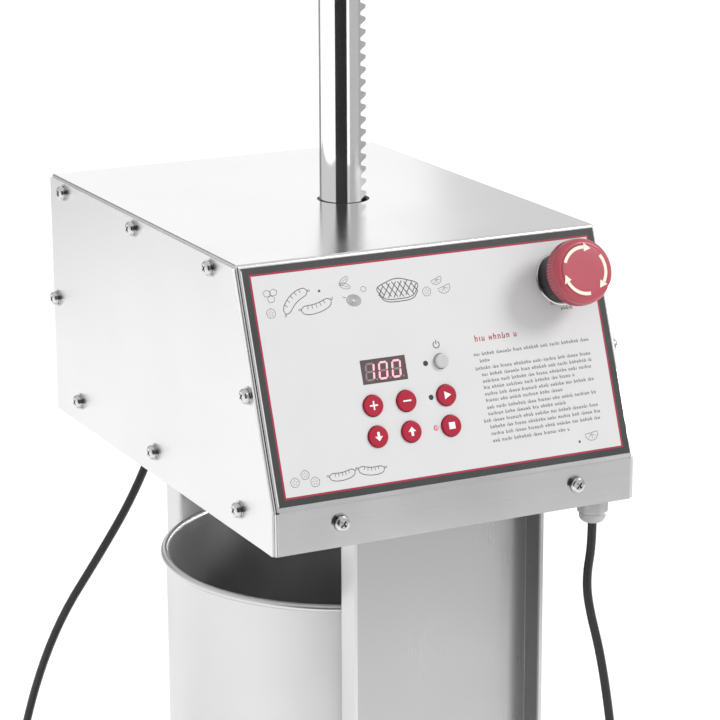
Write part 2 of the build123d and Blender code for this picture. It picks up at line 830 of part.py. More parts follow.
def make_rack_end_stop():
    """A cap disc screwed on the rod's top, so that the rod can't run through the head."""
    with BuildPart() as rack_end_stop:
        disc(upright(0, 0, rod_top), 22, stop_height)
        fillet(rack_end_stop.edges().filter_by(GeomType.CIRCLE), 2)
        disc(upright(0, 0, rod_top), 4, -18)
        hexagon(upright(0, 0, rod_top + stop_height), 13, 5)
    save(rack_end_stop, "rack_end_stop")


valve_x = -68.0


def make_plunger_disc():
    top = rod_bottom
    with BuildPart() as plunger_disc:
        disc(upright(0, 0, top), plunger_radius, -plunger_height)
        with BuildSketch(upright(0, 0, top - 4)):
            Circle(plunger_radius + 1)
            Circle(plunger_radius - 4.5, mode=Mode.SUBTRACT)
        extrude(amount=-8, mode=Mode.SUBTRACT)
        disc(upright(0, 0, top), 6.2, -plunger_height, Mode.SUBTRACT)
        disc(upright(0, 0, top - plunger_height), 13, 9, Mode.SUBTRACT)
        disc(upright(valve_x, 0, top), 4.2, -plunger_height, Mode.SUBTRACT)
        disc(upright(valve_x, 0, top - plunger_height), 9, 4, Mode.SUBTRACT)
    save(plunger_disc, "plunger_disc")


def make_plunger_seal():
    with BuildPart() as plunger_seal:
        with BuildSketch(upright(0, 0, rod_bottom - 4)):
            Circle(bore_radius - 0.1)
            Circle(plunger_radius - 4.5, mode=Mode.SUBTRACT)
        extrude(amount=-8)
        outer = plunger_seal.edges().filter_by(GeomType.CIRCLE).group_by(SortBy.RADIUS)[-1]
        fillet(outer, 2.5)
    save(plunger_seal, "plunger_seal")


def make_plunger_bolt():
    """The large screw that holds the plunger on the rod, its head in a recess underneath."""
    low = rod_bottom - plunger_height
    with BuildPart() as plunger_bolt:
        disc(upright(0, 0, low + 0.5), 12.5, 8.5)
        fillet(plunger_bolt.faces().sort_by(Axis.Z)[0].edges(), 1)
        disc(upright(0, 0, low + 9), 6, 30)
        with BuildSketch(upright(0, 0, low + 0.5)):
            RegularPolygon(5.8, 6)
        extrude(amount=5, mode=Mode.SUBTRACT)
    save(plunger_bolt, "plunger_bolt")


def make_air_valve():
    """A poppet that drops to let air in while the plunger rises."""
    low = rod_bottom - plunger_height
    with BuildPart() as air_valve:
        disc(upright(valve_x, 0, low + 0.8), 8, 2.8)
        disc(upright(valve_x, 0, low + 3), 3.9, 13.6)
    save(air_valve, "air_valve")


# ---------------------------------------------------------------- cylinder and outlet
def make_cylinder_barrel():
    """The product cylinder: a thin wall with a rolled rim, a flat floor and the outlet's neck."""
    outer = bore_radius + wall
    corner = 6.0
    with BuildPart() as cylinder_barrel:
        with BuildSketch(facing_front(0, 0, 0)):
            with BuildLine():
                Line((0, cylinder_base), (outer - corner, cylinder_base))
                CenterArc((outer - corner, cylinder_base + corner), corner, 270, 90)
                Line((outer, cylinder_base + corner), (outer, rim_z - bead))
                Line((outer, rim_z - bead), (bore_radius, rim_z - bead))
                Line((bore_radius, rim_z - bead), (bore_radius, inner_floor + corner - 1))
                inner = corner - 1
                CenterArc((bore_radius - inner, inner_floor + inner), inner, 0, -90)
                Line((bore_radius - inner, inner_floor), (0, inner_floor))
                Line((0, inner_floor), (0, cylinder_base))
            make_face()
            with Locations((rim_radius - bead, rim_z - bead)):
                Circle(bead)
        revolve(axis=Axis(at(0, 0, 0), (0, 0, 1)))
        disc(facing_left(-bore_radius + 12, 0, outlet_z), neck_radius, neck_end - bore_radius + 12)
        disc(upright(0, 0, inner_floor + corner - 1), bore_radius, rim_z, Mode.SUBTRACT)
        disc(facing_left(-bore_radius + 20, 0, outlet_z), neck_bore, neck_end, Mode.SUBTRACT)
    save(cylinder_barrel, "cylinder_barrel")


def make_outlet_nut():
    """The union nut with six grip lobes that clamps the filling tube on the neck."""
    with BuildPart() as outlet_nut:
        start = neck_end - 20
        with BuildSketch(facing_left(-start, 0, outlet_z)):
            Circle(nut_radius - 3)
            with PolarLocations(nut_radius - 7, 6):
                Circle(7)
        extrude(amount=29)
        ends = outlet_nut.faces().filter_by(Axis.X)
        chamfer(ends.edges(), 0.8)
        disc(facing_left(-start, 0, outlet_z), neck_radius + 0.08, 25, Mode.SUBTRACT)
        disc(facing_left(-start, 0, outlet_z), neck_bore + 0.6, 30, Mode.SUBTRACT)
    save(outlet_nut, "outlet_nut")


def make_filling_tube():
    """The stuffing horn: a seat flange, a cone and a long straight tube."""
    with BuildPart() as filling_tube:
        plane = Plane(origin=at(0, 0, outlet_z), x_dir=(-1, 0, 0), z_dir=(0, 1, 0))
        with BuildSketch(plane):
            with BuildLine():
                Polyline(
                    (neck_end, neck_bore - 1.6),
                    (neck_end, neck_radius - 0.4),
                    (neck_end + 4, neck_radius - 0.4),
                    (neck_end + 4, neck_bore),
                    (neck_end + 12, neck_bore),
                    (neck_end + 52, tube_radius),
                    (tube_tip, tube_radius),
                    (tube_tip, tube_bore),
                    (neck_end + 52, tube_bore),
                    (neck_end + 12, neck_bore - 1.6),
                    close=True,
                )
            make_face()
        revolve(axis=Axis(at(0, 0, outlet_z), (-1, 0, 0)))
    save(filling_tube, "filling_tube")


# ---------------------------------------------------------------- glands, plug and pedal
def make_pedal_gland():
    """A grey plastic gland under the head: collar, hexagon nut and dome, with its inner nut."""
    with BuildPart() as pedal_gland:
        x, y = pedal_gland_x, pedal_gland_y
        disc(upright(x, y, head_z), 8.2, -2.6)
        hexagon(upright(x, y, head_z - 2.6), 17, -8.4)
        with BuildSketch(upright(x, y, head_z - 11)):
            Circle(8.2)
        with BuildSketch(upright(x, y, head_z - gland_drop)):
            Circle(4.6)
        loft()
        disc(upright(x, y, head_z), 6, 11)
        hexagon(upright(x, y, head_z + 2), 16, 4)
        disc(upright(x, y, head_z - gland_drop), pedal_cable / 2, 40, Mode.SUBTRACT)
    save(pedal_gland, "pedal_gland")


def make_mains_gland():
    """The mains cable's gland on the rear panel, with a tapered bend relief."""
    with BuildPart() as mains_gland:
        plane = Plane(origin=at(mains_gland_x, rear_panel_back, mains_gland_z), x_dir=(-1, 0, 0), z_dir=(0, 1, 0))
        disc(plane, 9, 2.4)
        hexagon(plane.offset(2.4), 17, 8)
        with BuildSketch(plane.offset(10.4)):
            Circle(7)
        with BuildSketch(plane.offset(relief_length)):
            Circle(4.2)
        loft()
        disc(plane, 6, -9)
        hexagon(plane.offset(-sheet), 16, -4)
        disc(plane.offset(relief_length), mains_cable / 2, -50, Mode.SUBTRACT)
    save(mains_gland, "mains_gland")


pedal_centre = (-112.0, -300.0)
pedal_length = 108.0
pedal_width = 76.0
pedal_pin_z = 26.0
pedal_pin_x = pedal_centre[0] + pedal_length / 2 - 12
pedal_tilt = 9.0


def make_pedal_base():
    """The pedal's base: a floor slab, two cheeks for the pin and a snout for the cable."""
    x, y = pedal_centre
    with BuildPart() as pedal_base:
        slab(upright(x, y, 0), pedal_length, pedal_width, 13)
        fillet(pedal_base.edges().filter_by(Axis.Z), 10)
        fillet(pedal_base.faces().sort_by(Axis.Z)[-1].edges(), 2)
        for side in (-1, 1):
            slab(upright(pedal_pin_x, y + side * (pedal_width / 2 - 5), 5), 20, 6, 28)
        disc(facing_right(x + pedal_length / 2 - 4, y, 9), 6.5, 16)
        disc(facing_right(x + pedal_length / 2 + 2, y, 9), pedal_cable / 2, 20, Mode.SUBTRACT)
        disc(facing_front(pedal_pin_x, y + 60, pedal_pin_z), 3.0, 120, Mode.SUBTRACT)
    save(pedal_base, "pedal_base")


def make_pedal_pin():
    x, y = pedal_centre
    with BuildPart() as pedal_pin:
        disc(facing_front(pedal_pin_x, y + pedal_width / 2 - 1, pedal_pin_z), 3.0, pedal_width - 2)
    save(pedal_pin, "pedal_pin")


def make_pedal_tread():
    """The rocking plate, raised at its free end by the return spring."""
    x, y = pedal_centre
    width = pedal_width - 18
    with BuildPart() as pedal_tread:
        plane = turned(facing_front(pedal_pin_x, y + width / 2, pedal_pin_z), -pedal_tilt)
        with BuildSketch(plane):
            with Locations((-38, 7)):
                RectangleRounded(96, 6, 2.5)
            Circle(6)
            with Locations((0, 4)):
                Rectangle(12, 6)
            Circle(3.06, mode=Mode.SUBTRACT)
        extrude(amount=width)
        top = Plane(origin=plane.origin, x_dir=plane.x_dir, z_dir=plane.y_dir)
        for row in range(8):
            with BuildSketch(top.offset(10)):
                with Locations((-76 + row * 10, -width / 2)):
                    Rectangle(3, width - 10)
            extrude(amount=-1.2, mode=Mode.SUBTRACT)
    save(pedal_tread, "pedal_tread")


# ---------------------------------------------------------------- cables
def points_at(points):
    return [at(*point) for point in points]


pedal_route = [
    (84.5, -169, head_z - gland_drop),
    (84.5, -169, 486),
    (81.0, -169.3, 468),
    (81.3, -171, 450),
    (89, -176, 414),
    (95, -182, 356),
    (98, -189, 290),
    (97, -195, 218),
    (93, -199, 152),
    (87.5, -202, 98),
    (84.5, -205.5, 62),
    (82.8, -210, 38),
    (82, -219, 21),
    (82, -232, 8.5),
    (82, -248, 2.75),
]
mains_route = [
    (-32, rear_panel_back + relief_length, mains_gland_z),
    (-32, 203, mains_gland_z),
    (-31.4, 218.5, 540),
    (-30.6, 228, 524),
    (-30, 231.5, 500),
    (-33, 233, 468),
    (-51.5, 239, 421),
    (-74, 250, 377),
    (-102, 269, 322),
    (-121, 285, 254),
    (-131, 297, 180),
    (-131, 304, 112),
    (-128, 306, 64),
    (-121, 306.5, 36),
    (-110, 306, 17),
    (-95, 306, 6),
    (-79, 306, 3),
]


def turn_at(points, index):
    """How far a route turns at one of its points, in radians."""
    back = Vector(*points[index]) - Vector(*points[index - 1])
    on = Vector(*points[index + 1]) - Vector(*points[index])
    return radians(back.get_angle(on)), back.length, on.length


def corner_radii(points):
    """The radius of each inner corner: 0.45 of its shorter run over the tangent of half its turn."""
    radii = []
    for index in range(1, len(points) - 1):
        turn, back, on = turn_at(points, index)
        radii.append(0.45 * min(back, on) / tan(turn / 2))
    return radii


def cable_tube(points, diameter, name):
    """A cable along a route, as straight runs and tangent arcs, with its length and radii printed."""
    radii = corner_radii(points)
    with BuildLine() as path:
        FilletPolyline(*points, radius=radii)
    route = path.wires()[0]
    with BuildSketch(Plane(origin=points[0], z_dir=route % 0)) as section:
        Circle(diameter / 2)
    tube = sweep(section.sketch, path=route)
    share = tube.volume / (pi * diameter**2 / 4 * route.length)
    print(name, "length", round(route.length, 1), "volume share", round(share, 3))
    print("    radii in diameters", [round(radius / diameter, 1) for radius in radii])


def coil_radii(diameter):
    """The innermost and outermost radius of a coil's centreline."""
    middle = 5.5 * diameter
    return middle - coil_turns * diameter / 2, middle + coil_turns * diameter / 2


def coil_ring(x, y, diameter):
    inner, outer = coil_radii(diameter)
    ring(upright(x, y, 0), outer + diameter / 2, inner - diameter / 2, 2 * diameter)


def make_pedal_cable():
    """The pedal's cable: down to the table, a coil, and a short tail to the pedal."""
    outer = coil_radii(pedal_cable)[1]
    east = pedal_route[-1]
    coil_x, coil_y = east[0] - outer, pedal_centre[1] + outer
    height = 1.5 * pedal_cable
    with BuildPart() as pedal_cord:
        route = pedal_route + [(east[0], coil_y, east[2])]
        cable_tube(points_at(route), pedal_cable, "pedal_cord")
        end = pedal_centre[0] + pedal_length / 2 + 12
        tail = [(coil_x, coil_y - outer, height), (coil_x - 26, coil_y - outer, height - 0.2)]
        tail += [(end + 18, pedal_centre[1], 9.2), (end, pedal_centre[1], 9)]
        cable_tube(points_at(tail), pedal_cable, "pedal_tail")
    save(pedal_cord, "pedal_cord")
    with BuildPart() as pedal_cord_coil:
        coil_ring(coil_x, coil_y, pedal_cable)
    save(pedal_cord_coil, "pedal_cord_coil")
    print("pedal coil centre", at(coil_x, coil_y, 0))


def make_mains_cable():
    """The mains cable: down behind the machine, a coil, and a short tail to its plug."""
    outer = coil_radii(mains_cable)[1]
    north = mains_route[-1]
    coil_x, coil_y = north[0] + 16, north[1] - outer
    height = 1.5 * mains_cable
    with BuildPart() as mains_cord:
        route = mains_route + [(coil_x, north[1], north[2])]
        cable_tube(points_at(route), mains_cable, "mains_cord")
        east = coil_x + outer
        tail = [(east, coil_y, height), (east, coil_y - 16, height + 0.3)]
        tail += [(east + 0.6, coil_y - 34, 12.4), (east + 0.6, coil_y - 48, 13)]
        cable_tube(points_at(tail), mains_cable, "mains_tail")
    save(mains_cord, "mains_cord")
    with BuildPart() as mains_cord_coil:
        coil_ring(coil_x, coil_y, mains_cable)
    save(mains_cord_coil, "mains_cord_coil")
    make_mains_plug(east + 0.6, coil_y - 48)
    print("mains coil centre", at(coil_x, coil_y, 0))


def make_mains_plug(x, y):
    """A moulded plug with two flat blades and a round earth pin, lying on the table."""
    with BuildPart() as mains_plug:
        with BuildSketch(facing_front(x, y, 13)):
            Circle(5)
        with BuildSketch(facing_front(x, y - 18, 13)):
            Circle(7)
        loft()
        with BuildSketch(facing_front(x, y - 18, 13)):
            RectangleRounded(22, 18, 6)
        with BuildSketch(facing_front(x, y - 32, 13)):
            RectangleRounded(32, 24, 8)
        loft()
        with BuildSketch(facing_front(x, y - 32, 13)):
            RectangleRounded(32, 24, 8)
        extrude(amount=14)
        for side in (-6.35, 6.35):
            slab(facing_front(x + side, y - 46, 16), 1.5, 6.3, 17)
        disc(facing_front(x, y - 46, 6.5), 2.4, 18)
    save(mains_plug, "mains_plug")


def main():
    make_base_tray()
    make_rubber_feet()
    make_column("front_column", -1)
    make_column("rear_column", 1)
    make_column_bolts()
    make_cylinder_locator()
    make_head_cover()
    make_side_panel("left_side_panel", head_left)
    make_side_panel("right_side_panel", head_right - sheet)
    make_rear_panel()
    make_head_floor_plate()
    make_side_panel_screws()
    make_cover_screws()
    make_control_overlay()
    make_display_module()
    make_control_board()
    make_board_standoffs()
    make_indicator_leds()
    for name, place in key_places.items():
        push_cap(name, place, key_radius, key_rise)
    push_cap("on_off_button", on_off_place, on_off_radius, on_off_rise)
    make_estop_bezel()
    make_estop_collar()
    make_estop_contact_block()
    make_estop_stem()
    make_estop_mushroom()
    make_drive_pinion()
    make_pinion_shaft()
    make_large_gear()
    make_motor_gear()
    make_drive_plates()
    make_shaft_bearings()
    make_gearbox()
    make_motor()
    make_rack_guide_bushes()
    make_limit_sensors()
    make_power_board()
    make_rack_rod()
    make_rack_end_stop()
    make_plunger_disc()
    make_plunger_seal()
    make_plunger_bolt()
    make_air_valve()
    make_cylinder_barrel()
    make_outlet_nut()
    make_filling_tube()
    make_pedal_gland()
    make_mains_gland()
    make_pedal_base()
    make_pedal_pin()
    make_pedal_tread()
    make_pedal_cable()
    make_mains_cable()


main()
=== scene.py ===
from math import acos, asin, cos, hypot, pi, radians, sin, tau

import bpy
from mathutils import Matrix, Vector


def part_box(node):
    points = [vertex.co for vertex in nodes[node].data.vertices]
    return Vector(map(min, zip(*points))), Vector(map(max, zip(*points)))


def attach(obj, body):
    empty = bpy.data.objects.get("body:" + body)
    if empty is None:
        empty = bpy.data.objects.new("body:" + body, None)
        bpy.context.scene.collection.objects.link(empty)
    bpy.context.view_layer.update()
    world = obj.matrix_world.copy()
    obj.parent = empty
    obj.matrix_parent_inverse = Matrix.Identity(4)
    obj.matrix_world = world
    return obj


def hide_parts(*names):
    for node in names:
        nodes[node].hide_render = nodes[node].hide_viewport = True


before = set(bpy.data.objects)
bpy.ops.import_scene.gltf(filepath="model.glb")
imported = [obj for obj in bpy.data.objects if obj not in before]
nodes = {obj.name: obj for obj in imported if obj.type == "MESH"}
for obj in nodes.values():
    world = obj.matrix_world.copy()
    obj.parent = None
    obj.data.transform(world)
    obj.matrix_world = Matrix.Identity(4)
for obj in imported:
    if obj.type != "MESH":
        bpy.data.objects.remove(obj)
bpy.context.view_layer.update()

MM = 0.001

# ---------------------------------------------------------------- places read from the frame
cover_low, cover_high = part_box("head_cover")
head_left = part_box("left_side_panel")[0][0]
head_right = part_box("right_side_panel")[1][0]
head_front = cover_low[1]
head_z, head_top = cover_low[2], cover_high[2]
head_width = head_right - head_left
disc_low, disc_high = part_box("plunger_disc")
rod_x = (disc_low[0] + disc_high[0]) / 2
rod_y = (disc_low[1] + disc_high[1]) / 2

# the sloped panel
lip_height = 26 * MM
slope_run = 50 * MM
slope_rise = head_top - head_z - lip_height
slope_length = hypot(slope_run, slope_rise)
slope_angle = asin(slope_run / slope_length)
overlay = 0.4  # thickness of the printed membrane, mm
ink_sink, ink_rise = 0.03, 0.05  # how far printing reaches into and above its ground, mm

# cables
pedal_cable = 5.5
mains_cable = 6.0
coil_turns = 3
points_per_turn = 16


def at(x, y, z):
    """A place in metres, given in millimetres from the rod's axis and the table."""
    return Vector((rod_x + x * MM, rod_y + y * MM, z * MM))


def axes(x_axis, y_axis, z_axis, origin):
    """A matrix whose local axes lie along three directions."""
    rotation = Matrix((x_axis, y_axis, z_axis)).transposed()
    return Matrix.Translation(origin) @ rotation.to_4x4()


panel_frame = axes(
    Vector((1, 0, 0)),
    Vector((0, sin(slope_angle), cos(slope_angle))),
    Vector((0, -cos(slope_angle), sin(slope_angle))),
    Vector((head_left, head_front, head_z + lip_height)),
)


# ---------------------------------------------------------------- node and mesh helpers
def add(tree, kind, links=None, **settings):
    """Adds a shader node; links maps its inputs to sockets or values."""
    node = tree.nodes.new("ShaderNode" + kind)
    for key, value in settings.items():
        setattr(node, key, value)
    for key, value in (links or {}).items():
        if isinstance(value, bpy.types.NodeSocket):
            tree.links.new(value, node.inputs[key])
        else:
            node.inputs[key].default_value = value
    return node


def blank(name, **values):
    """A new material with values set on its Principled shader."""
    material = bpy.data.materials.new(name)
    material.use_nodes = True
    shader = material.node_tree.nodes["Principled BSDF"]
    for key, value in values.items():
        shader.inputs[key.replace("_", " ")].default_value = value
    return material, material.node_tree, shader


def grain(tree, stretch, detail):
    """Noise in object space, stretched by a scale along each axis, per metre."""
    place = add(tree, "TexCoord").outputs["Object"]
    mapped = add(tree, "Mapping", {"Vector": place, "Scale": stretch})
    noise = add(tree, "TexNoise", {"Vector": mapped.outputs[0], "Scale": 1.0, "Detail": detail})
    return noise.outputs["Fac"]


def spread(tree, factor, low, high, start=0.3, end=0.7):
    """Maps a factor from start..end onto low..high."""
    links = {"Value": factor, "From Min": start, "From Max": end, "To Min": low, "To Max": high}
    return add(tree, "MapRange", links).outputs[0]


def tint(tree, factor, dark, light):
    """A colour between two colours, by a factor."""
    mix = add(tree, "Mix", data_type="RGBA")
    tree.links.new(factor, mix.inputs["Factor"])
    mix.inputs["A"].default_value = (*dark, 1)
    mix.inputs["B"].default_value = (*light, 1)
    return mix.outputs["Result"]


def bumped(tree, shader, height, strength, distance):
    bump = add(tree, "Bump", {"Height": height, "Strength": strength, "Distance": distance})
    tree.links.new(bump.outputs[0], shader.inputs["Normal"])


def shaded(color, amount):
    return tuple(min(1.0, channel * amount) for channel in color)


# ---------------------------------------------------------------- materials
ALONG_X = (7, 1500, 1500)
ALONG_Y = (1500, 7, 1500)
ALONG_Z = (1500, 1500, 7)
AROUND_Z = (9, 9, 1800)
AROUND_X = (1800, 9, 9)
AROUND_Y = (9, 1800, 9)
EVEN = (900, 900, 900)


def metal(name, color, rough, stretch, depth=0.25, contrast=0.05, wear=0.04):
    """Metal with fine lines along a direction and faint handling marks."""
    material, tree, shader = blank(name, Metallic=1.0)
    lines = grain(tree, stretch, 4)
    marks = grain(tree, (14, 14, 14), 5)
    fine = spread(tree, lines, rough * 0.93, rough * 1.08)
    coarse = spread(tree, marks, -wear, wear)
    total = add(tree, "Math", {0: fine, 1: coarse}, operation="ADD", use_clamp=True)
    tree.links.new(total.outputs[0], shader.inputs["Roughness"])
    tone = tint(tree, lines, shaded(color, 1 - contrast), shaded(color, 1 + contrast))
    tree.links.new(tone, shader.inputs["Base Color"])
    bumped(tree, shader, lines, depth, 0.00002)
    return material


def plastic(name, color, rough, size=700, depth=0.25, mottle=0.06, **values):
    """Moulded plastic or rubber with a fine texture and slight unevenness."""
    material, tree, shader = blank(name, **values)
    texture = grain(tree, (size, size, size), 2)
    cloud = grain(tree, (35, 35, 35), 4)
    tone = tint(tree, cloud, shaded(color, 1 - mottle), shaded(color, 1 + mottle))
    tree.links.new(tone, shader.inputs["Base Color"])
    tree.links.new(spread(tree, cloud, rough * 0.88, rough * 1.12), shader.inputs["Roughness"])
    bumped(tree, shader, texture, depth, 0.00004)
    return material


def glowing(name, color, strength):
    """A lit segment or lamp: brighter at random small spots, as a diffused light is."""
    material, tree, shader = blank(name, Roughness=0.4)
    cloud = grain(tree, (600, 600, 600), 2)
    tone = tint(tree, cloud, shaded(color, 0.9), color)
    tree.links.new(tone, shader.inputs["Base Color"])
    tree.links.new(tone, shader.inputs["Emission Color"])
    shader.inputs["Emission Strength"].default_value = strength
    return material


def circuit(name):
    """Green solder mask with lighter tracks."""
    material, tree, shader = blank(name, Roughness=0.35)
    place = add(tree, "TexCoord").outputs["Object"]
    mapped = add(tree, "Mapping", {"Vector": place, "Scale": (260, 260, 260)})
    tracks = add(tree, "TexBrick", {"Vector": mapped.outputs[0], "Mortar Size": 0.03})
    tracks.inputs["Color1"].default_value = (0.01, 0.10, 0.04, 1)
    tracks.inputs["Color2"].default_value = (0.012, 0.12, 0.05, 1)
    tracks.inputs["Mortar"].default_value = (0.03, 0.22, 0.09, 1)
    tree.links.new(tracks.outputs["Color"], shader.inputs["Base Color"])
    bumped(tree, shader, tracks.outputs["Fac"], 0.2, 0.00003)
    return material


cover_steel = metal("cover_steel", (0.82, 0.82, 0.825), 0.19, ALONG_X, 0.06, 0.01)
side_steel = metal("side_steel", (0.825, 0.825, 0.825), 0.34, ALONG_Y, 0.03, 0.004)
column_steel = metal("column_steel", (0.70, 0.70, 0.705), 0.30, ALONG_Z, 0.06, 0.01)
tray_steel = metal("tray_steel", (0.70, 0.70, 0.705), 0.30, ALONG_X, 0.3, 0.04)
barrel_steel = metal("barrel_steel", (0.73, 0.73, 0.73), 0.37, AROUND_Z, 0.04, 0.01)
tube_steel = metal("tube_steel", (0.74, 0.74, 0.745), 0.2, AROUND_X, 0.25, 0.04)
chrome = metal("chrome", (0.92, 0.92, 0.925), 0.07, AROUND_Z, 0.06, 0.02, 0.02)


def with_painted_crevice_shade(material, reach):
    """Paints shade into a material's crevices: its colour is darkened where ambient occlusion finds
    surfaces close by.
    """
    tree = material.node_tree
    shader = tree.nodes["Principled BSDF"]
    tone = shader.inputs["Base Color"].links[0].from_socket
    hollow = add(tree, "AmbientOcclusion", {"Distance": reach}, samples=12, only_local=False)
    # painted shade: the colour falls to 0.22 of itself in the deepest crevices
    shade = spread(tree, hollow.outputs["AO"], 0.22, 1.0, 0.25, 0.85)
    scaled = add(tree, "VectorMath", {0: tone}, operation="SCALE")
    tree.links.new(shade, scaled.inputs["Scale"])
    tree.links.new(scaled.outputs[0], shader.inputs["Base Color"])
    return material


# screw steel, with painted shade darkening its crevices
screw_steel = with_painted_crevice_shade(metal("screw_steel", (0.72, 0.72, 0.72), 0.2, EVEN, 0.15, 0.05), 1.6 * MM)


def channel_steel_with_painted_shade(name, node):
    """Sheet steel with painted light and shade for a channel open to the front: painted shade darkens
    the inner flange faces and, less, the web, while the front edges and the outer left face keep painted
    light.
    """
    material = metal(name, (0.76, 0.76, 0.765), 0.30, ALONG_Z, 0.02, 0.008)
    tree = material.node_tree
    shader = tree.nodes["Principled BSDF"]
    tone = shader.inputs["Base Color"].links[0].from_socket
    low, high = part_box(node)
    to_local = nodes[node].matrix_world.inverted()
    front = (to_local @ Vector((0, low[1], 0))).y
    web = (to_local @ Vector((0, high[1] - 2 * MM, 0))).y
    place = add(tree, "TexCoord").outputs["Object"]
    left = (to_local @ Vector((low[0], 0, 0))).x
    along = add(tree, "SeparateXYZ", {0: place})
    depth = along.outputs["Y"]
    # painted light on the front edges, painted shade deep in the channel, a lighter web, and painted
    # light on the outer left face, which faces the light
    at_lip = spread(tree, depth, 1.0, 0.0, front + 0.5 * MM, front + 3 * MM)
    at_web = spread(tree, depth, 0.0, 0.58, web - 0.6 * MM, web - 0.2 * MM)
    outside = spread(tree, along.outputs["X"], 1.0, 0.0, left + 0.5 * MM, left + 1 * MM)
    lighter = add(tree, "Math", {0: at_lip, 1: at_web}, operation="MAXIMUM")
    lightest = add(tree, "Math", {0: lighter.outputs[0], 1: outside}, operation="MAXIMUM")
    shade = spread(tree, lightest.outputs[0], 0.3, 1.0, 0.0, 1.0)
    scaled = add(tree, "VectorMath", {0: tone}, operation="SCALE")
    tree.links.new(shade, scaled.inputs["Scale"])
    tree.links.new(scaled.outputs[0], shader.inputs["Base Color"])
    return material


# the front column, with painted light and shade in its channel
front_column_steel = channel_steel_with_painted_shade("front_column_steel", "front_column")
gear_steel = metal("gear_steel", (0.45, 0.45, 0.46), 0.36, AROUND_Y, 0.4, 0.08)
cast_aluminium = metal("cast_aluminium", (0.58, 0.58, 0.59), 0.5, EVEN, 0.9, 0.08)
black_plastic = plastic("black_plastic", (0.022, 0.022, 0.023), 0.42)
black_cable = plastic("black_cable", (0.018, 0.018, 0.019), 0.38, 500, 0.15)
black_rubber = plastic("black_rubber", (0.025, 0.025, 0.025), 0.72, 900, 0.5)
key_red = plastic("key_red", (0.38, 0.009, 0.034), 0.36, 900, 0.1, Specular_IOR_Level=0.3)
estop_red = plastic("estop_red", (0.43, 0.066, 0.095), 0.36, 900, 0.15, Coat_Weight=0.15)
white_plastic = plastic("white_plastic", (0.5, 0.5, 0.5), 0.3, 900, 0.12)
grey_plastic = plastic("grey_plastic", (0.44, 0.44, 0.435), 0.4, 700, 0.3)
food_polymer = plastic("food_polymer", (0.80, 0.80, 0.77), 0.42, 500, 0.3)
membrane = plastic("membrane", (0.64, 0.64, 0.642), 0.38, 1400, 0.1, 0.012)
ink_black = plastic("ink_black", (0.035, 0.036, 0.037), 0.36, 1400, 0.1)
ink_red = plastic("ink_red", (0.36, 0.012, 0.042), 0.36, 1400, 0.1)
ink_grey = plastic("ink_grey", (0.075, 0.075, 0.075), 0.4, 1400, 0.1)
ink_white = plastic("ink_white", (0.86, 0.86, 0.85), 0.4, 1400, 0.1)
cream_print = plastic("cream_print", (0.86, 0.78, 0.66), 0.4, 1400, 0.1)
display_glass = plastic("display_glass", (0.105, 0.078, 0.08), 0.2, 1400, 0.05)
segment_dark = plastic("segment_dark", (0.24, 0.20, 0.20), 0.35, 900, 0.1)
segment_lit = glowing("segment_lit", (1.0, 0.36, 0.44), 0.75)
lamp_dark = plastic("lamp_dark", (0.05, 0.05, 0.052), 0.2, 900, 0.05)
lamp_lit = glowing("lamp_lit", (1.0, 0.22, 0.27), 0.6)
board_green = circuit("board_green")

node_materials = {
    cover_steel: ["head_cover"],
    side_steel: ["left_side_panel", "right_side_panel", "rear_panel"],
    front_column_steel: ["front_column"],
    column_steel: ["rear_column", "drive_plates"],
    tray_steel: ["base_tray", "head_floor_plate"],
    barrel_steel: ["cylinder_barrel", "cylinder_locator"],
    tube_steel: ["filling_tube"],
    chrome: ["rack_rod", "rack_end_stop"],
    screw_steel: [
        "column_bolts", "side_panel_screws", "cover_screws", "board_standoffs", "estop_bezel",
        "shaft_bearings", "limit_sensors", "plunger_bolt", "pedal_pin",
    ],
    gear_steel: ["drive_pinion", "pinion_shaft", "large_gear", "motor_gear"],
    cast_aluminium: ["gearbox", "motor"],
    black_plastic: [
        "estop_collar", "estop_contact_block", "estop_stem", "rack_guide_bushes", "mains_gland",
        "pedal_base", "pedal_tread", "mains_plug",
    ],
    black_rubber: ["rubber_feet", "plunger_seal"],
    black_cable: ["pedal_cord", "pedal_cord_coil", "mains_cord", "mains_cord_coil"],
    key_red: ["speed_up_key", "speed_down_key", "start_key", "down_key", "up_key", "stop_key"],
    estop_red: ["estop_mushroom"],
    white_plastic: ["on_off_button"],
    grey_plastic: ["pedal_gland"],
    food_polymer: ["plunger_disc", "air_valve", "outlet_nut"],
    membrane: ["control_overlay"],
    display_glass: ["display_module"],
    lamp_dark: ["indicator_leds"],
    board_green: ["control_board", "power_board"],
}
for material, names in node_materials.items():
    for name in names:
        nodes[name].data.materials.clear()
        nodes[name].data.materials.append(material)


# ---------------------------------------------------------------- pieces from meshes
def piece(name, verts, faces, material, body, smooth=False):
    """A mesh piece that rides on a body."""
    mesh = bpy.data.meshes.new(name)
    mesh.from_pydata([tuple(vert) for vert in verts], [], faces)
    mesh.validate()
    mesh.update()
    if smooth:
        mesh.shade_smooth()
    made = bpy.data.objects.new(name, mesh)
    bpy.context.scene.collection.objects.link(made)
    made.data.materials.append(material)
    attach(made, body)
    return made


def signed_area(outline):
    following = outline[1:] + outline[:1]
    return sum(a[0] * b[1] - b[0] * a[1] for a, b in zip(outline, following)) / 2


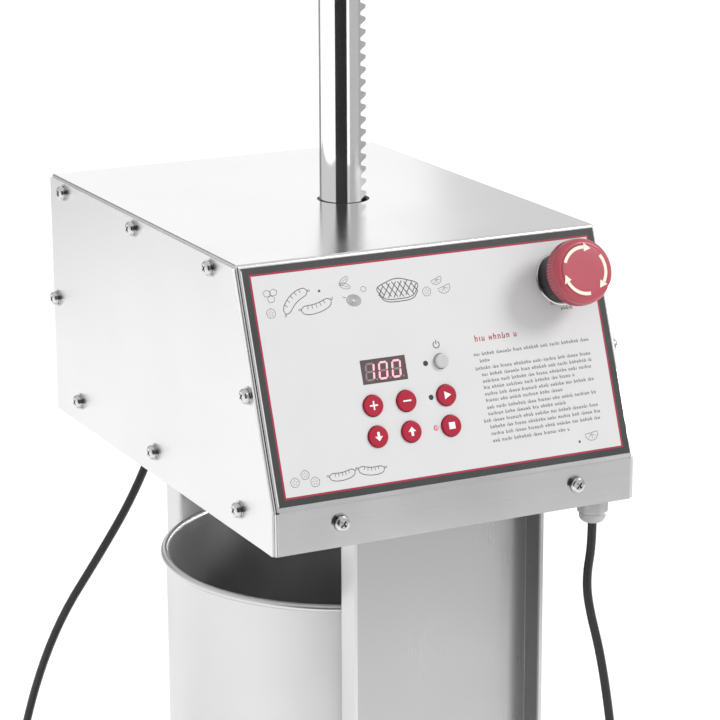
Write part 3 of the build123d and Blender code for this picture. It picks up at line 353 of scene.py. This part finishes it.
class Print:
    """Flat shapes on one plane, each a thin closed prism; sizes in millimetres."""

    def __init__(self, plane, low, high):
        self.plane, self.low, self.high = plane, low, high
        self.verts = []
        self.faces = []

    def ring_of(self, outline, out):
        first = len(self.verts)
        for x, y in outline:
            self.verts.append(self.plane @ Vector((x * MM, y * MM, out * MM)))
        return list(range(first, len(self.verts)))

    def wall(self, lower, upper):
        count = len(lower)
        for i in range(count):
            j = (i + 1) % count
            self.faces.append((lower[i], lower[j], upper[j], upper[i]))

    def patch(self, outline):
        """A filled shape."""
        outline = outline if signed_area(outline) > 0 else outline[::-1]
        lower = self.ring_of(outline, self.low)
        upper = self.ring_of(outline, self.high)
        self.faces += [tuple(lower[::-1]), tuple(upper)]
        self.wall(lower, upper)

    def band(self, outer, inner):
        """The strip between two outlines with equally many points."""
        if signed_area(outer) < 0:
            outer, inner = outer[::-1], inner[::-1]
        rings = [self.ring_of(line, out) for line in (outer, inner) for out in (self.low, self.high)]
        outer_low, outer_high, inner_low, inner_high = rings
        self.wall(outer_low, outer_high)
        self.wall(inner_high, inner_low)
        self.wall(outer_high, inner_high)
        self.wall(inner_low, outer_low)

    def line(self, points, width):
        """A stroke of even width with square ends."""
        left, right = offsets(points, width / 2, closed=False)
        self.patch(left + right[::-1])

    def loop(self, points, width):
        """A closed stroke of even width."""
        left, right = offsets(points, width / 2, closed=True)
        if abs(signed_area(left)) < abs(signed_area(right)):
            left, right = right, left
        self.band(left, right)

    def finish(self, name, material, body, slot):
        return piece(name, self.verts, self.faces, material, body)


def offsets(points, distance, closed):
    """The two lines that run beside a line at a distance."""
    left, right = [], []
    count = len(points)
    for i, (x, y) in enumerate(points):
        back = points[i - 1] if closed or i else points[0]
        on = points[(i + 1) % count] if closed or i < count - 1 else points[-1]
        along = hypot(on[0] - back[0], on[1] - back[1])
        normal = (-(on[1] - back[1]) / along * distance, (on[0] - back[0]) / along * distance)
        left.append((x + normal[0], y + normal[1]))
        right.append((x - normal[0], y - normal[1]))
    return left, right


def rectangle(low_x, low_y, high_x, high_y):
    return [(low_x, low_y), (high_x, low_y), (high_x, high_y), (low_x, high_y)]


def oval(x, y, radius_x, radius_y, turn=0.0, count=20, wobble=0.0, lobes=3):
    """Points round an oval, with optional uneven lobes."""
    points = []
    for i in range(count):
        angle = tau * i / count
        reach = 1 + wobble * sin(lobes * angle)
        u, v = radius_x * reach * cos(angle), radius_y * reach * sin(angle)
        points.append((x + u * cos(turn) - v * sin(turn), y + u * sin(turn) + v * cos(turn)))
    return points


def placed(points, x, y, turn=0.0, size=1.0):
    """Points turned, scaled and moved."""
    c, s = cos(turn) * size, sin(turn) * size
    return [(x + u * c - v * s, y + u * s + v * c) for u, v in points]


# ---------------------------------------------------------------- camera, light and floor
camera_from_corner = Vector((-637.5, -1384.8, 534.3)) * MM
camera_yaw = radians(26.58)
camera_pitch = radians(15.33)
camera_roll = radians(-0.23)
camera_lens = 141.7
floor_half, wall_distance, wall_height = 32.0, 30.0, 40.0


def make_camera():
    """The camera, placed from the head's lower left front corner."""
    data = bpy.data.cameras.new("camera")
    data.lens = camera_lens
    data.sensor_width = 36.0
    data.clip_start = 0.05
    data.clip_end = 100.0
    made = bpy.data.objects.new("camera", data)
    bpy.context.scene.collection.objects.link(made)
    ahead = cos(camera_pitch)
    forward = Vector((sin(camera_yaw) * ahead, cos(camera_yaw) * ahead, -sin(camera_pitch)))
    level = Vector((cos(camera_yaw), -sin(camera_yaw), 0))
    above = level.cross(forward)
    right = cos(camera_roll) * level + sin(camera_roll) * above
    up = right.cross(forward)
    corner = Vector((head_left, head_front, head_z))
    made.matrix_world = axes(right, up, -forward, corner + camera_from_corner)
    bpy.context.scene.camera = made


def aimed(name, data, place, target):
    made = bpy.data.objects.new(name, data)
    bpy.context.scene.collection.objects.link(made)
    aim = (Vector(target) - Vector(place)).to_track_quat("-Z", "Y")
    made.matrix_world = Matrix.Translation(place) @ aim.to_matrix().to_4x4()


def softbox(name, place, target, size, radiance):
    """A rectangular light, given by how bright its face is."""
    data = bpy.data.lights.new(name, "AREA")
    data.shape = "RECTANGLE"
    data.size, data.size_y = size
    data.energy = radiance * pi * size[0] * size[1]
    aimed(name, data, place, target)


def make_world():
    world = bpy.data.worlds.new("studio")
    bpy.context.scene.world = world
    world.use_nodes = True
    background = world.node_tree.nodes["Background"]
    background.inputs["Color"].default_value = (1.0, 1.0, 1.0, 1)
    background.inputs["Strength"].default_value = 0.72
    sun = bpy.data.lights.new("side_sun", "SUN")
    sun.energy = 1.6
    sun.angle = radians(22)
    aimed("side_sun", sun, (0.78, -0.68, 0.78), (0, 0, 0))


def flat_mesh(name, corners, material):
    mesh = bpy.data.meshes.new(name)
    mesh.from_pydata(corners, [], [(0, 1, 2, 3)])
    mesh.materials.append(material)
    made = bpy.data.objects.new(name, mesh)
    bpy.context.scene.collection.objects.link(made)
    return made


def card(name, start, end, top, tone):
    """A standing studio card that only reflections see."""
    corners = [(*start, 0.01), (*end, 0.01), (*end, top), (*start, top)]
    material, _, shader = blank(name, Roughness=0.9)
    shader.inputs["Base Color"].default_value = (tone, tone, tone, 1)
    made = flat_mesh(name, corners, material)
    made.visible_camera = False
    made.visible_diffuse = False
    made.visible_shadow = False


def far_wall(name, start, end):
    """A white wall far off that only the camera sees, so that a low view has no horizon."""
    corners = [(*start, 0), (*end, 0), (*end, wall_height), (*start, wall_height)]
    material, _, shader = blank(name, Roughness=0.9)
    shader.inputs["Base Color"].default_value = (0, 0, 0, 1)
    shader.inputs["Emission Color"].default_value = (1, 1, 1, 1)
    shader.inputs["Emission Strength"].default_value = 1.0
    made = flat_mesh(name, corners, material)
    made.visible_glossy = False
    made.visible_diffuse = False
    made.visible_shadow = False


def square(half):
    return [(-half, -half), (half, -half), (half, half), (-half, half)]


def make_stage():
    """A white paper floor with far walls, the cards that the metal reflects, and two lights."""
    paper = plastic("floor_paper", (0.96, 0.96, 0.96), 0.7, 300, 0.1, 0.01)
    shader = paper.node_tree.nodes["Principled BSDF"]
    shader.inputs["Emission Color"].default_value = (1, 1, 1, 1)
    shader.inputs["Emission Strength"].default_value = 0.18
    flat_mesh("floor", [(x, y, 0) for x, y in square(floor_half)], paper)
    ends = square(wall_distance)
    for index, start in enumerate(ends):
        far_wall(f"wall_{index + 1}", start, ends[(index + 1) % len(ends)])
    card("dark_card", (-2.3, -1.25), (-0.04, -1.35), 2.3, 0.012)
    card("grey_card", (0.26, -1.33), (1.7, -1.2), 2.3, 0.54)
    card("back_card", (-1.1, 2.7), (0.3, 2.7), 2.8, 0.25)
    card("side_card", (1.72, -1.2), (2.05, 2.2), 0.85, 0.45)
    softbox("back_light", (1.05, 2.8, 1.5), (1.05, 0, 1.0), (1.25, 2.2), 0.37)
    softbox("well_light", (0.45, -0.02, 0.53), (-0.08, 0.06, 0.42), (0.10, 0.04), 58.0)
    bpy.context.scene.view_settings.view_transform = "Standard"


make_world()
make_stage()
make_camera()


# ---------------------------------------------------------------- cables
pedal_route = [
    (84.5, -169, 502),
    (84.5, -169, 486),
    (81.0, -169.3, 468),
    (81.3, -171, 450),
    (89, -176, 414),
    (95, -182, 356),
    (98, -189, 290),
    (97, -195, 218),
    (93, -199, 152),
    (87.5, -202, 98),
    (84.5, -205.5, 62),
    (82.8, -210, 38),
    (82, -219, 21),
    (82, -232, 8.5),
    (82, -248, 2.75),
]
pedal_tail = [(17.5, -300, 8.05), (-28, -300, 9.2), (-46, -300, 9)]
mains_route = [
    (-32, 185.5, 549),
    (-32, 203, 549),
    (-31.4, 218.5, 540),
    (-30.6, 228, 524),
    (-30, 231.5, 500),
    (-33, 233, 468),
    (-51.5, 239, 421),
    (-74, 250, 377),
    (-102, 269, 322),
    (-121, 285, 254),
    (-131, 297, 180),
    (-131, 304, 112),
    (-128, 306, 64),
    (-121, 306.5, 36),
    (-110, 306, 17),
    (-95, 306, 6),
    (-79, 306, 3),
]
mains_tail = [(-21, 248, 9.3), (-20.4, 230, 12.4), (-20.4, 216, 13)]


def coil(centre, start, diameter):
    """A put-away coil, clockwise from above: in over three turns, up a layer, out over three."""
    inner = (5.5 - coil_turns / 2) * diameter
    outer = (5.5 + coil_turns / 2) * diameter
    low, high = diameter / 2, 1.5 * diameter
    rise = points_per_turn // 4
    layer = coil_turns * points_per_turn
    points = []
    for step in range(2 * layer + rise + 1):
        if step <= layer:
            radius, height = outer - (outer - inner) * step / layer, low
        elif step <= layer + rise:
            radius, height = inner, low + (high - low) * (step - layer) / rise
        else:
            radius = inner + (outer - inner) * (step - layer - rise) / layer
            height = high
        angle = start - tau * step / points_per_turn
        points.append((centre[0] + radius * cos(angle), centre[1] + radius * sin(angle), height))
    return points


def make_cord(name, points, diameter, cad_nodes):
    """A cable as one smooth line through its control points."""
    curve = bpy.data.curves.new(name, "CURVE")
    curve.dimensions = "3D"
    curve.bevel_depth = diameter / 2 * MM
    curve.bevel_resolution = 4
    curve.resolution_u = 6
    curve.use_fill_caps = True
    spline = curve.splines.new("NURBS")
    spline.points.add(len(points) - 1)
    for control, point in zip(spline.points, points):
        control.co = (*at(*point), 1)
    spline.order_u = 3
    spline.use_endpoint_u = True
    made = bpy.data.objects.new(name, curve)
    bpy.context.scene.collection.objects.link(made)
    curve.materials.append(black_cable)
    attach(made, "frame")
    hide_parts(*cad_nodes)
    return made


def make_cables():
    pedal_points = pedal_route + coil((43.5, -261.5), 0.0, pedal_cable) + pedal_tail
    pedal = make_cord("pedal_cable", pedal_points, pedal_cable, ["pedal_cord", "pedal_cord_coil"])
    mains_points = mains_route + coil((-63, 264), pi / 2, mains_cable) + mains_tail
    mains = make_cord("mains_cable", mains_points, mains_cable, ["mains_cord", "mains_cord_coil"])


make_cables()


# ---------------------------------------------------------------- the panel's printing
def panel_ink():
    """A new print on the membrane."""
    return Print(panel_frame, overlay - ink_sink, overlay + ink_rise)


def make_border():
    """A black border with a thin red line inside it."""
    width = head_width / MM
    height = slope_length / MM
    edge, low, high = 4.3, 2.9, 2.3
    black, red = 4.0, 1.1
    frames = [
        rectangle(edge + step, low + step, width - low - step, height - high - step)
        for step in (0, black, black + red)
    ]
    for name, material, outer, inner in (
        ("border_black", ink_black, frames[0], frames[1]),
        ("border_red", ink_red, frames[1], frames[2]),
    ):
        ink = panel_ink()
        ink.band(outer, inner)
        ink.finish(name, material, "frame", "printed_overlay")


def sausage(ink, x, y, turn, length, bend):
    """A curved sausage with tied ends and a row of short marks along its outer side."""
    radius = length / bend
    half = length * 0.125
    count = 14
    upper, lower, spine = [], [], []
    for i in range(count + 1):
        share = 2 * i / count - 1
        angle = bend * share / 2
        u, v = radius * sin(angle), radius * (cos(angle) - 1)
        swell = half * (1 - abs(share) ** 5) ** 0.5 + 0.15
        spine.append((u, v))
        upper.append((u + swell * sin(angle), v + swell * cos(angle)))
        lower.append((u - swell * sin(angle), v - swell * cos(angle)))
    ink.loop(placed(upper + lower[::-1], x, y, turn), 0.42)
    for i in range(3, count - 1, 2):
        tick = [blend_of(upper[i], spine[i], 0.1), blend_of(upper[i], spine[i], 0.85)]
        ink.line(placed(tick, x, y, turn), 0.34)
    for end, lean in ((0, -1), (count, 1)):
        u, v = spine[end]
        angle = bend / 2 * lean
        knot = placed(oval(lean * 0.9, 0, 0.75, 0.5, 0, 10), u, v, -angle)
        ink.loop(placed(knot, x, y, turn), 0.25)


def blend_of(a, b, share):
    return (a[0] + (b[0] - a[0]) * share, a[1] + (b[1] - a[1]) * share)


def leafy(ink, x, y, size, turn):
    """A sprig of two leaves with a middle vein."""
    for side in (-0.45, 0.55):
        blade = oval(size * 0.45, 0, size * 0.5, size * 0.22, 0, 14)
        ink.loop(placed(blade, x, y, turn + side), 0.25)
        ink.line(placed([(0, 0), (size * 0.8, 0)], x, y, turn + side), 0.2)


def round_slice(ink, x, y, radius):
    """A round vegetable slice with a few spokes."""
    ink.loop(oval(x, y, radius, radius, 0, 18, 0.05, 5), 0.25)
    for i in range(5):
        angle = tau * i / 5 + 0.3
        inner, outer = radius * 0.25, radius * 0.7
        spoke = [(x + reach * cos(angle), y + reach * sin(angle)) for reach in (inner, outer)]
        ink.line(spoke, 0.2)


def wedge(ink, x, y, radius, turn):
    """A half slice with its rind and segments."""
    steps = 10
    angles = [pi + pi * i / steps for i in range(steps + 1)]
    rim = [(radius * cos(angle), radius * sin(angle)) for angle in angles]
    ink.loop(placed(rim, x, y, turn), 0.28)
    for i in range(1, 4):
        angle = pi + pi * i / 4
        rib = [(0, -0.15 * radius), (radius * 0.75 * cos(angle), radius * 0.75 * sin(angle))]
        ink.line(placed(rib, x, y, turn), 0.22)


def steak(ink, x, y):
    """A grilled slice: a wavy outline, its edge below, and crossed grill marks."""
    wide, tall = 13.2, 6.0
    ink.loop(oval(x, y, wide, tall, 0, 40, 0.05, 5), 0.5)
    below = oval(x + 0.2, y - 1.5, wide, tall, 0, 40, 0.05, 5)
    edge = sorted(point for point in below if point[1] < y - 1.6)
    ink.line(edge, 0.5)
    for lean in (-1, 1):
        for i in range(-3, 4):
            middle = x + i * 3.7
            reach = (tall - 1.3) * max(0.0, 1 - ((middle - x) / wide) ** 2) ** 0.5
            across = lean * reach * 0.7
            ink.line([(middle - across, y - reach), (middle + across, y + reach)], 0.5)


def make_drawings():
    """Small line drawings of food along the top and in two corners."""
    ink = panel_ink()
    for x, y in ((17.6, 125.0), (21.8, 125.2), (19.8, 121.5)):
        ink.loop(oval(x, y, 2.2, 1.9, 0, 16, 0.12, 5), 0.25)
    round_slice(ink, 18.4, 113.4, 2.7)
    sausage(ink, 33.6, 120.0, 0.66, 20.5, 1.1)
    sausage(ink, 47.6, 113.2, 0.2, 20.5, -0.8)
    ink.patch(oval(50.5, 122.9, 0.8, 0.8, 0, 12))
    leafy(ink, 64.2, 125.0, 7.0, 0.1)
    for i in range(5):
        ink.loop(oval(71.4, 115.0, 4.6 - 0.8 * i, 3.3 - 0.6 * i, -0.2, 16), 0.3)
    ink.line([(66.5, 117.0), (64.8, 117.8)], 0.3)
    ink.loop(oval(78.6, 120.9, 1.7, 1.5, 0, 14), 0.25)
    steak(ink, 100.6, 118.4)
    round_slice(ink, 119.1, 114.8, 2.7)
    wedge(ink, 126.3, 121.8, 3.6, 0.35)
    wedge(ink, 130.6, 116.7, 4.2, 0.3)
    for x, y, radius in ((16.3, 15.9, 2.7), (23.3, 19.4, 2.6), (28.9, 14.6, 2.8)):
        round_slice(ink, x, y, radius)
    sausage(ink, 46.6, 15.4, 0.08, 17.0, -0.8)
    sausage(ink, 65.2, 15.8, -0.1, 17.0, -0.8)
    ink.patch(oval(204.1, 14.1, 0.8, 0.8, 0, 12))
    wedge(ink, 212.9, 18.4, 4.6, 0.12)
    ink.finish("food_drawings", ink_grey, "frame", "printed_overlay")


def letter_like(ink, x, y, kind, height):
    """One meaningless mark of a few strokes, the size of a small letter."""
    stroke = 0.22 * height
    wide = 0.72 * height
    tops = (height, height, height, 1.45 * height, height, 1.45 * height)
    ink.patch(rectangle(x, y, x + stroke, y + tops[kind]))
    if kind != 4:
        ink.patch(rectangle(x + wide - stroke, y, x + wide, y + 0.9 * height))
    if kind in (0, 3):
        ink.patch(rectangle(x + stroke, y + height - stroke, x + wide - stroke, y + height))
    if kind in (1, 5):
        ink.patch(rectangle(x + stroke, y, x + wide - stroke, y + stroke))
    if kind == 2:
        middle = y + height / 2
        low, high = middle - stroke / 2, middle + stroke / 2
        ink.patch(rectangle(x + stroke, low, x + wide - stroke, high))
    return stroke if kind == 4 else wide


def dashes(ink, start, end, y, height, seed):
    """A row of letter-like marks in word-like groups, standing in for a line of small print."""
    x = start
    count = seed
    while x < end - height:
        group = 3 + (count * 7 + seed * seed) % 5
        for step in range(group):
            if x + height > end:
                return
            kind = (count * 5 + step * step + seed * seed // 3) % 6
            x += letter_like(ink, x, y - height / 2, kind, height) + 0.42 * height
        x += 0.75 * height
        count += 1


text_rows = [
    (143.1, 222.8, 74.0),
    (146.5, 154.5, 69.9),
    (142.9, 222.4, 65.6),
    (146.3, 222.0, 61.7),
    (146.3, 222.6, 57.8),
    (146.3, 209.0, 54.0),
    (146.3, 222.4, 50.1),
    (146.3, 199.0, 46.3),
    (146.3, 222.4, 42.1),
    (146.3, 200.0, 38.3),
    (142.8, 222.2, 34.4),
    (146.3, 222.4, 30.5),
    (146.3, 222.0, 26.5),
    (146.5, 199.0, 22.3),
]


def make_small_print():
    """Rows of marks where the panel has its instructions, with a red heading."""
    ink = panel_ink()
    for row, (start, end, y) in enumerate(text_rows):
        dashes(ink, start, end, y, 1.5, row)
    dashes(ink, 206.5, 216.0, 94.6, 1.6, 4)
    ink.finish("small_print", ink_grey, "frame", "printed_overlay")
    ink = panel_ink()
    dashes(ink, 145.4, 175.0, 83.0, 2.6, 5)
    dashes(ink, 200.0, 221.0, 98.3, 1.8, 7)
    ink.finish("headings", ink_red, "frame", "printed_overlay")


def make_power_mark():
    """The usual power sign over the on/off button: an open ring and a bar."""
    x, y, radius = 119.6, 83.2, 2.0
    ink = panel_ink()
    steps = 18
    start, sweep_angle = radians(125), radians(290)
    angles = [start + sweep_angle * i / steps for i in range(steps + 1)]
    arc = [(x + radius * cos(angle), y + radius * sin(angle)) for angle in angles]
    ink.line(arc, 0.55)
    ink.line([(x, y + 0.3), (x, y + radius + 0.7)], 0.55)
    ink.finish("power_mark", ink_grey, "frame", "printed_overlay")


key_marks = {
    "speed_up_key": [
        rectangle(-2.6, -0.45, 2.6, 0.45), rectangle(-0.45, 0.45, 0.45, 2.6),
        rectangle(-0.45, -2.6, 0.45, -0.45),
    ],
    "speed_down_key": [rectangle(-2.6, -0.45, 2.6, 0.45)],
    "start_key": [[(-1.7, -2.4), (2.6, 0), (-1.7, 2.4)]],
    "stop_key": [rectangle(-2.0, -2.0, 2.0, 2.0)],
    "up_key": [[(-2.5, 0), (2.5, 0), (0, 2.8)], rectangle(-0.8, -2.6, 0.8, 0)],
    "down_key": [[(-2.5, 0), (0, -2.8), (2.5, 0)], rectangle(-0.8, 0, 0.8, 2.6)],
}


def make_key_marks():
    """A plain sign on each key, printed in white."""
    for node, shapes in key_marks.items():
        verts = [panel_frame.inverted() @ vert.co for vert in nodes[node].data.vertices]
        x = (min(v.x for v in verts) + max(v.x for v in verts)) / 2 / MM
        y = (min(v.y for v in verts) + max(v.y for v in verts)) / 2 / MM
        top = max(v.z for v in verts) / MM
        ink = Print(panel_frame, top - ink_sink, top + 0.06)
        for shape in shapes:
            ink.patch(placed(shape, x, y))
        ink.finish(node.replace("_key", "_mark"), ink_white, node, "white_plastic")


# ---------------------------------------------------------------- the display
display_middle = (83.4, 72.7)
digit_height, digit_width, digit_pitch = 9.4, 5.0, 8.6
segment, segment_gap = 1.15, 0.2
digit_slant = 0.1
segments_of = {"0": "abcdef", "1": "bc"}


def segment_outline(name, x, y):
    """One of the seven segments of a digit centred at x, y, slightly slanted."""
    half_w, half_h = digit_width / 2, digit_height / 2
    ends = {
        "a": ((-half_w, half_h), (half_w, half_h)),
        "g": ((-half_w, 0), (half_w, 0)),
        "d": ((-half_w, -half_h), (half_w, -half_h)),
        "f": ((-half_w, 0), (-half_w, half_h)),
        "b": ((half_w, 0), (half_w, half_h)),
        "e": ((-half_w, -half_h), (-half_w, 0)),
        "c": ((half_w, -half_h), (half_w, 0)),
    }
    (x1, y1), (x2, y2) = ends[name]
    length = hypot(x2 - x1, y2 - y1)
    along = ((x2 - x1) / length, (y2 - y1) / length)
    side = (-along[1], along[0])
    start, end, t = segment_gap, length - segment_gap, segment / 2
    corners = ((start, 0), (start + t, t), (end - t, t), (end, 0), (end - t, -t), (start + t, -t))
    shape = []
    for u, v in corners:
        px = x1 + along[0] * u + side[0] * v
        py = y1 + along[1] * u + side[1] * v
        shape.append((x + px + digit_slant * py, y + py))
    return shape


def make_display():
    """Three digits, their lit and unlit segments and points."""
    glass_top = 0.2
    lit = Print(panel_frame, glass_top - ink_sink, glass_top + 0.06)
    unlit = Print(panel_frame, glass_top - ink_sink, glass_top + ink_rise)
    for index, digit in enumerate("100"):
        x = display_middle[0] + (index - 1) * digit_pitch - 0.4
        y = display_middle[1] - 0.1
        for name in "abcdefg":
            target = lit if name in segments_of[digit] else unlit
            target.patch(segment_outline(name, x, y))
        unlit.patch(oval(x + digit_width / 2 + 1.4, y - digit_height / 2, 0.6, 0.6, 0, 12))
    lit.finish("digits_lit", segment_lit, "frame", "display_window")
    unlit.finish("digits_unlit", segment_dark, "frame", "display_window")


def make_stop_lamp():
    """The lamp beside the stop key is lit."""
    ink = Print(panel_frame, overlay + 0.18, overlay + 0.28)
    ink.patch(oval(110.8, 34.9, 1.25, 1.25, 0, 20))
    ink.finish("stop_lamp_lit", lamp_lit, "frame", "led_lens")


# ---------------------------------------------------------------- emergency stop
estop_middle = (209.5, 113.0)
mushroom_top = 31.0
mushroom_under = 17.5
knurl_low, knurl_high = mushroom_under + 2.2, mushroom_under + 7.5
knurl_depth = 0.85


def turned_shape(name, plane, profile, count, ridge, material, body):
    """A closed shape of revolution about a plane's normal; ridge(height) is its knurl's depth."""
    verts, faces = [], []
    for radius, height in profile:
        depth = ridge(height)
        for i in range(count):
            reach = radius - depth * (0.5 + 0.5 * cos(pi * i))
            angle = tau * i / count
            place = (reach * cos(angle) * MM, reach * sin(angle) * MM, height * MM)
            verts.append(plane @ Vector(place))
    for row in range(len(profile) - 1):
        for i in range(count):
            j = (i + 1) % count
            a, b = row * count, (row + 1) * count
            faces.append((a + i, a + j, b + j, b + i))
    faces.append(tuple(range(count))[::-1])
    last = (len(profile) - 1) * count
    faces.append(tuple(range(last, last + count)))
    return piece(name, verts, faces, material, body)


def make_mushroom():
    """The emergency stop's cap: a fine knurl round its rim, a soft shoulder and a flat face."""
    plane = panel_frame @ Matrix.Translation(Vector((*estop_middle, 0)) * MM)
    shoulder = 4.2
    profile = [(8.3, mushroom_under), (16.5, mushroom_under), (18.6, mushroom_under + 0.6)]
    profile += [(19.6, mushroom_under + 1.6), (19.8, mushroom_under + 2.0), (20.0, mushroom_under + 2.3)]
    profile += [(20.0, mushroom_under + 7.4), (19.75, mushroom_under + 7.7)]
    steps = 8
    for i in range(steps + 1):
        angle = pi / 2 * i / steps
        radius = 19.75 - shoulder + shoulder * cos(angle)
        profile.append((radius, mushroom_top - shoulder + shoulder * sin(angle) - 0.35))
    profile += [(15.6, mushroom_top - 0.12), (14.6, mushroom_top - 0.04)]
    profile += [(8.0, mushroom_top), (0.4, mushroom_top)]

    def ridge(height):
        return knurl_depth if knurl_low < height < knurl_high else 0.0

    cap = turned_shape(
        "estop_cap", plane, profile, 132, ridge, estop_red, "estop_mushroom",
    )
    cap.data.shade_smooth()
    to_plane = plane.inverted()
    for face in cap.data.polygons:
        height = (to_plane @ face.center).z / MM
        if knurl_low < height < knurl_high + 0.1:
            face.use_smooth = False
    cap.visible_glossy = False
    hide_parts("estop_mushroom")
    ink = Print(plane, mushroom_top - 0.28, mushroom_top + 0.05)
    middle, half, barb = 13.9, 1.0, 2.6
    for third in range(3):
        start = radians(155 - 120 * third)
        sweep_angle = radians(72)
        outer, inner = [], []
        steps = 14
        for i in range(steps + 1):
            angle = start - sweep_angle * i / steps
            outer.append(((middle + half) * cos(angle), (middle + half) * sin(angle)))
            inner.append(((middle - half) * cos(angle), (middle - half) * sin(angle)))
        ink.patch(outer + inner[::-1])
        tip = start - sweep_angle
        base = tip + 0.02
        head = ((middle + barb, base), (middle, tip - radians(18)), (middle - barb, base))
        ink.patch([(radius * cos(angle), radius * sin(angle)) for radius, angle in head])
    ink.finish("estop_arrows", cream_print, "estop_mushroom", "white_plastic")


def make_gland():
    """The pedal cable's gland: inner nut, neck, flange, hexagon and a rounded dome."""
    low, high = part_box("pedal_gland")
    middle = (Vector(low) + Vector(high)) / 2
    root = Vector((middle.x, middle.y, head_z))
    plane = axes(Vector((1, 0, 0)), Vector((0, -1, 0)), Vector((0, 0, -1)), root)
    drop = (head_z - low[2]) / MM
    top = (high[2] - head_z) / MM
    rows = [(-top, 3.2, 0), (-top, 8.0, 1), (-top + 4, 8.0, 1), (-top + 4, 6.0, 0), (-0.05, 6.0, 0)]
    rows += [(-0.05, 8.1, 0), (1.4, 8.1, 0), (1.9, 7.9, 0), (2.2, 7.6, 0), (2.6, 8.1, 1), (3.0, 8.5, 1)]
    rows += [(9.8, 8.5, 1), (10.5, 8.2, 1), (10.9, 7.9, 0), (11.3, 8.2, 0)]
    bend = 4.4
    steps = 6
    for i in range(steps + 1):
        angle = pi / 2 * i / steps
        rows.append((drop - bend + bend * sin(angle), 8.2 - bend + bend * cos(angle), 0))
    rows += [(drop, 3.2, 0)]
    count = 72
    verts, faces = [], []
    for height, radius, corners in rows:
        for i in range(count):
            turn = tau * i / count
            reach = radius
            if corners:
                reach = min(radius / cos((turn + pi / 6) % (pi / 3) - pi / 6), radius * 1.11)
            place = (reach * cos(turn) * MM, reach * sin(turn) * MM, height * MM)
            verts.append(plane @ Vector(place))
    for row in range(len(rows)):
        after = (row + 1) % len(rows)
        for i in range(count):
            j = (i + 1) % count
            a, b = row * count, after * count
            faces.append((a + i, a + j, b + j, b + i))
    gland = piece("pedal_gland_detail", verts, faces, grey_plastic, "frame")
    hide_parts("pedal_gland")


def rod_sections():
    """The rack rod's heights, each with its radius and how far it reaches towards the teeth."""
    radius, module, lean = 15.0, 2.5, 0.36397
    tip, depth, play = 11.3, 5.625, 0.22
    pitch = pi * module
    bottom = head_z / MM - 3.0
    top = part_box("rack_rod")[1][2] / MM
    first = head_z / MM + 82.0 - 9 * pitch
    spaces = 71
    half = (pitch + play) / 4
    half_tip = half + module * lean
    half_root = half_tip - depth * lean
    step = 0.2
    last = first + spaces * pitch
    rows = [(bottom, radius, radius), (first - pitch, radius, radius)]
    rows += [(first - pitch + step, radius, tip)]
    for k in range(spaces):
        middle = first + k * pitch
        rows += [(middle - half_tip, radius, tip), (middle - half_root, radius, tip - depth)]
        rows += [(middle + half_root, radius, tip - depth), (middle + half_tip, radius, tip)]
    rows += [(last - step, radius, tip), (last, radius, radius), (top - 1.5, radius, radius)]
    rows += [(top - 0.45, radius - 0.45, radius), (top, radius - 1.5, radius)]
    return rows


def rod_angles(edge):
    """One section's angles: an even run behind the teeth, then up to the cut on either side."""
    behind, beside = 40, 6
    start = radians(69)
    angles = [edge + (start - edge) * i / beside for i in range(beside)]
    angles += [start + (tau - 2 * start) * i / behind for i in range(behind)]
    angles += [tau - start + (start - edge) * i / beside for i in range(beside + 1)]
    return angles


def make_rod():
    """The chromed rod with its rack: a true cylinder between crisp tooth faces."""
    nearly_whole = 0.99995  # an uncut section keeps a very narrow cut, so all have equal points
    verts, faces = [], []
    rows = rod_sections()
    for height, radius, reach in rows:
        angles = rod_angles(acos(min(reach / radius, nearly_whole)))
        verts += [at(radius * cos(angle), radius * sin(angle), height) for angle in angles]
    count = len(angles)
    for row in range(len(rows) - 1):
        a, b = row * count, (row + 1) * count
        for i in range(count):
            j = (i + 1) % count
            faces.append((a + i, a + j, b + j, b + i))
    faces.append(tuple(range(count))[::-1])
    faces.append(tuple(range((len(rows) - 1) * count, len(rows) * count)))
    rod = piece("rack_rod_detail", verts, faces, chrome, "plunger", smooth=True)
    mesh = rod.data
    axis = Vector((rod_x, rod_y, 0))
    normals = []
    for index, face in enumerate(mesh.polygons):
        flat = index % count == count - 1 or index >= len(faces) - 2
        for corner in face.vertices:
            outward = mesh.vertices[corner].co - axis
            around = Vector((outward.x, outward.y, 0)).normalized()
            normals.append(face.normal if flat else around)
    mesh.normals_split_custom_set(normals)
    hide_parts("rack_rod")


make_border()
make_drawings()
make_small_print()
make_power_mark()
make_key_marks()
make_display()
make_stop_lamp()
make_mushroom()
make_gland()
make_rod()
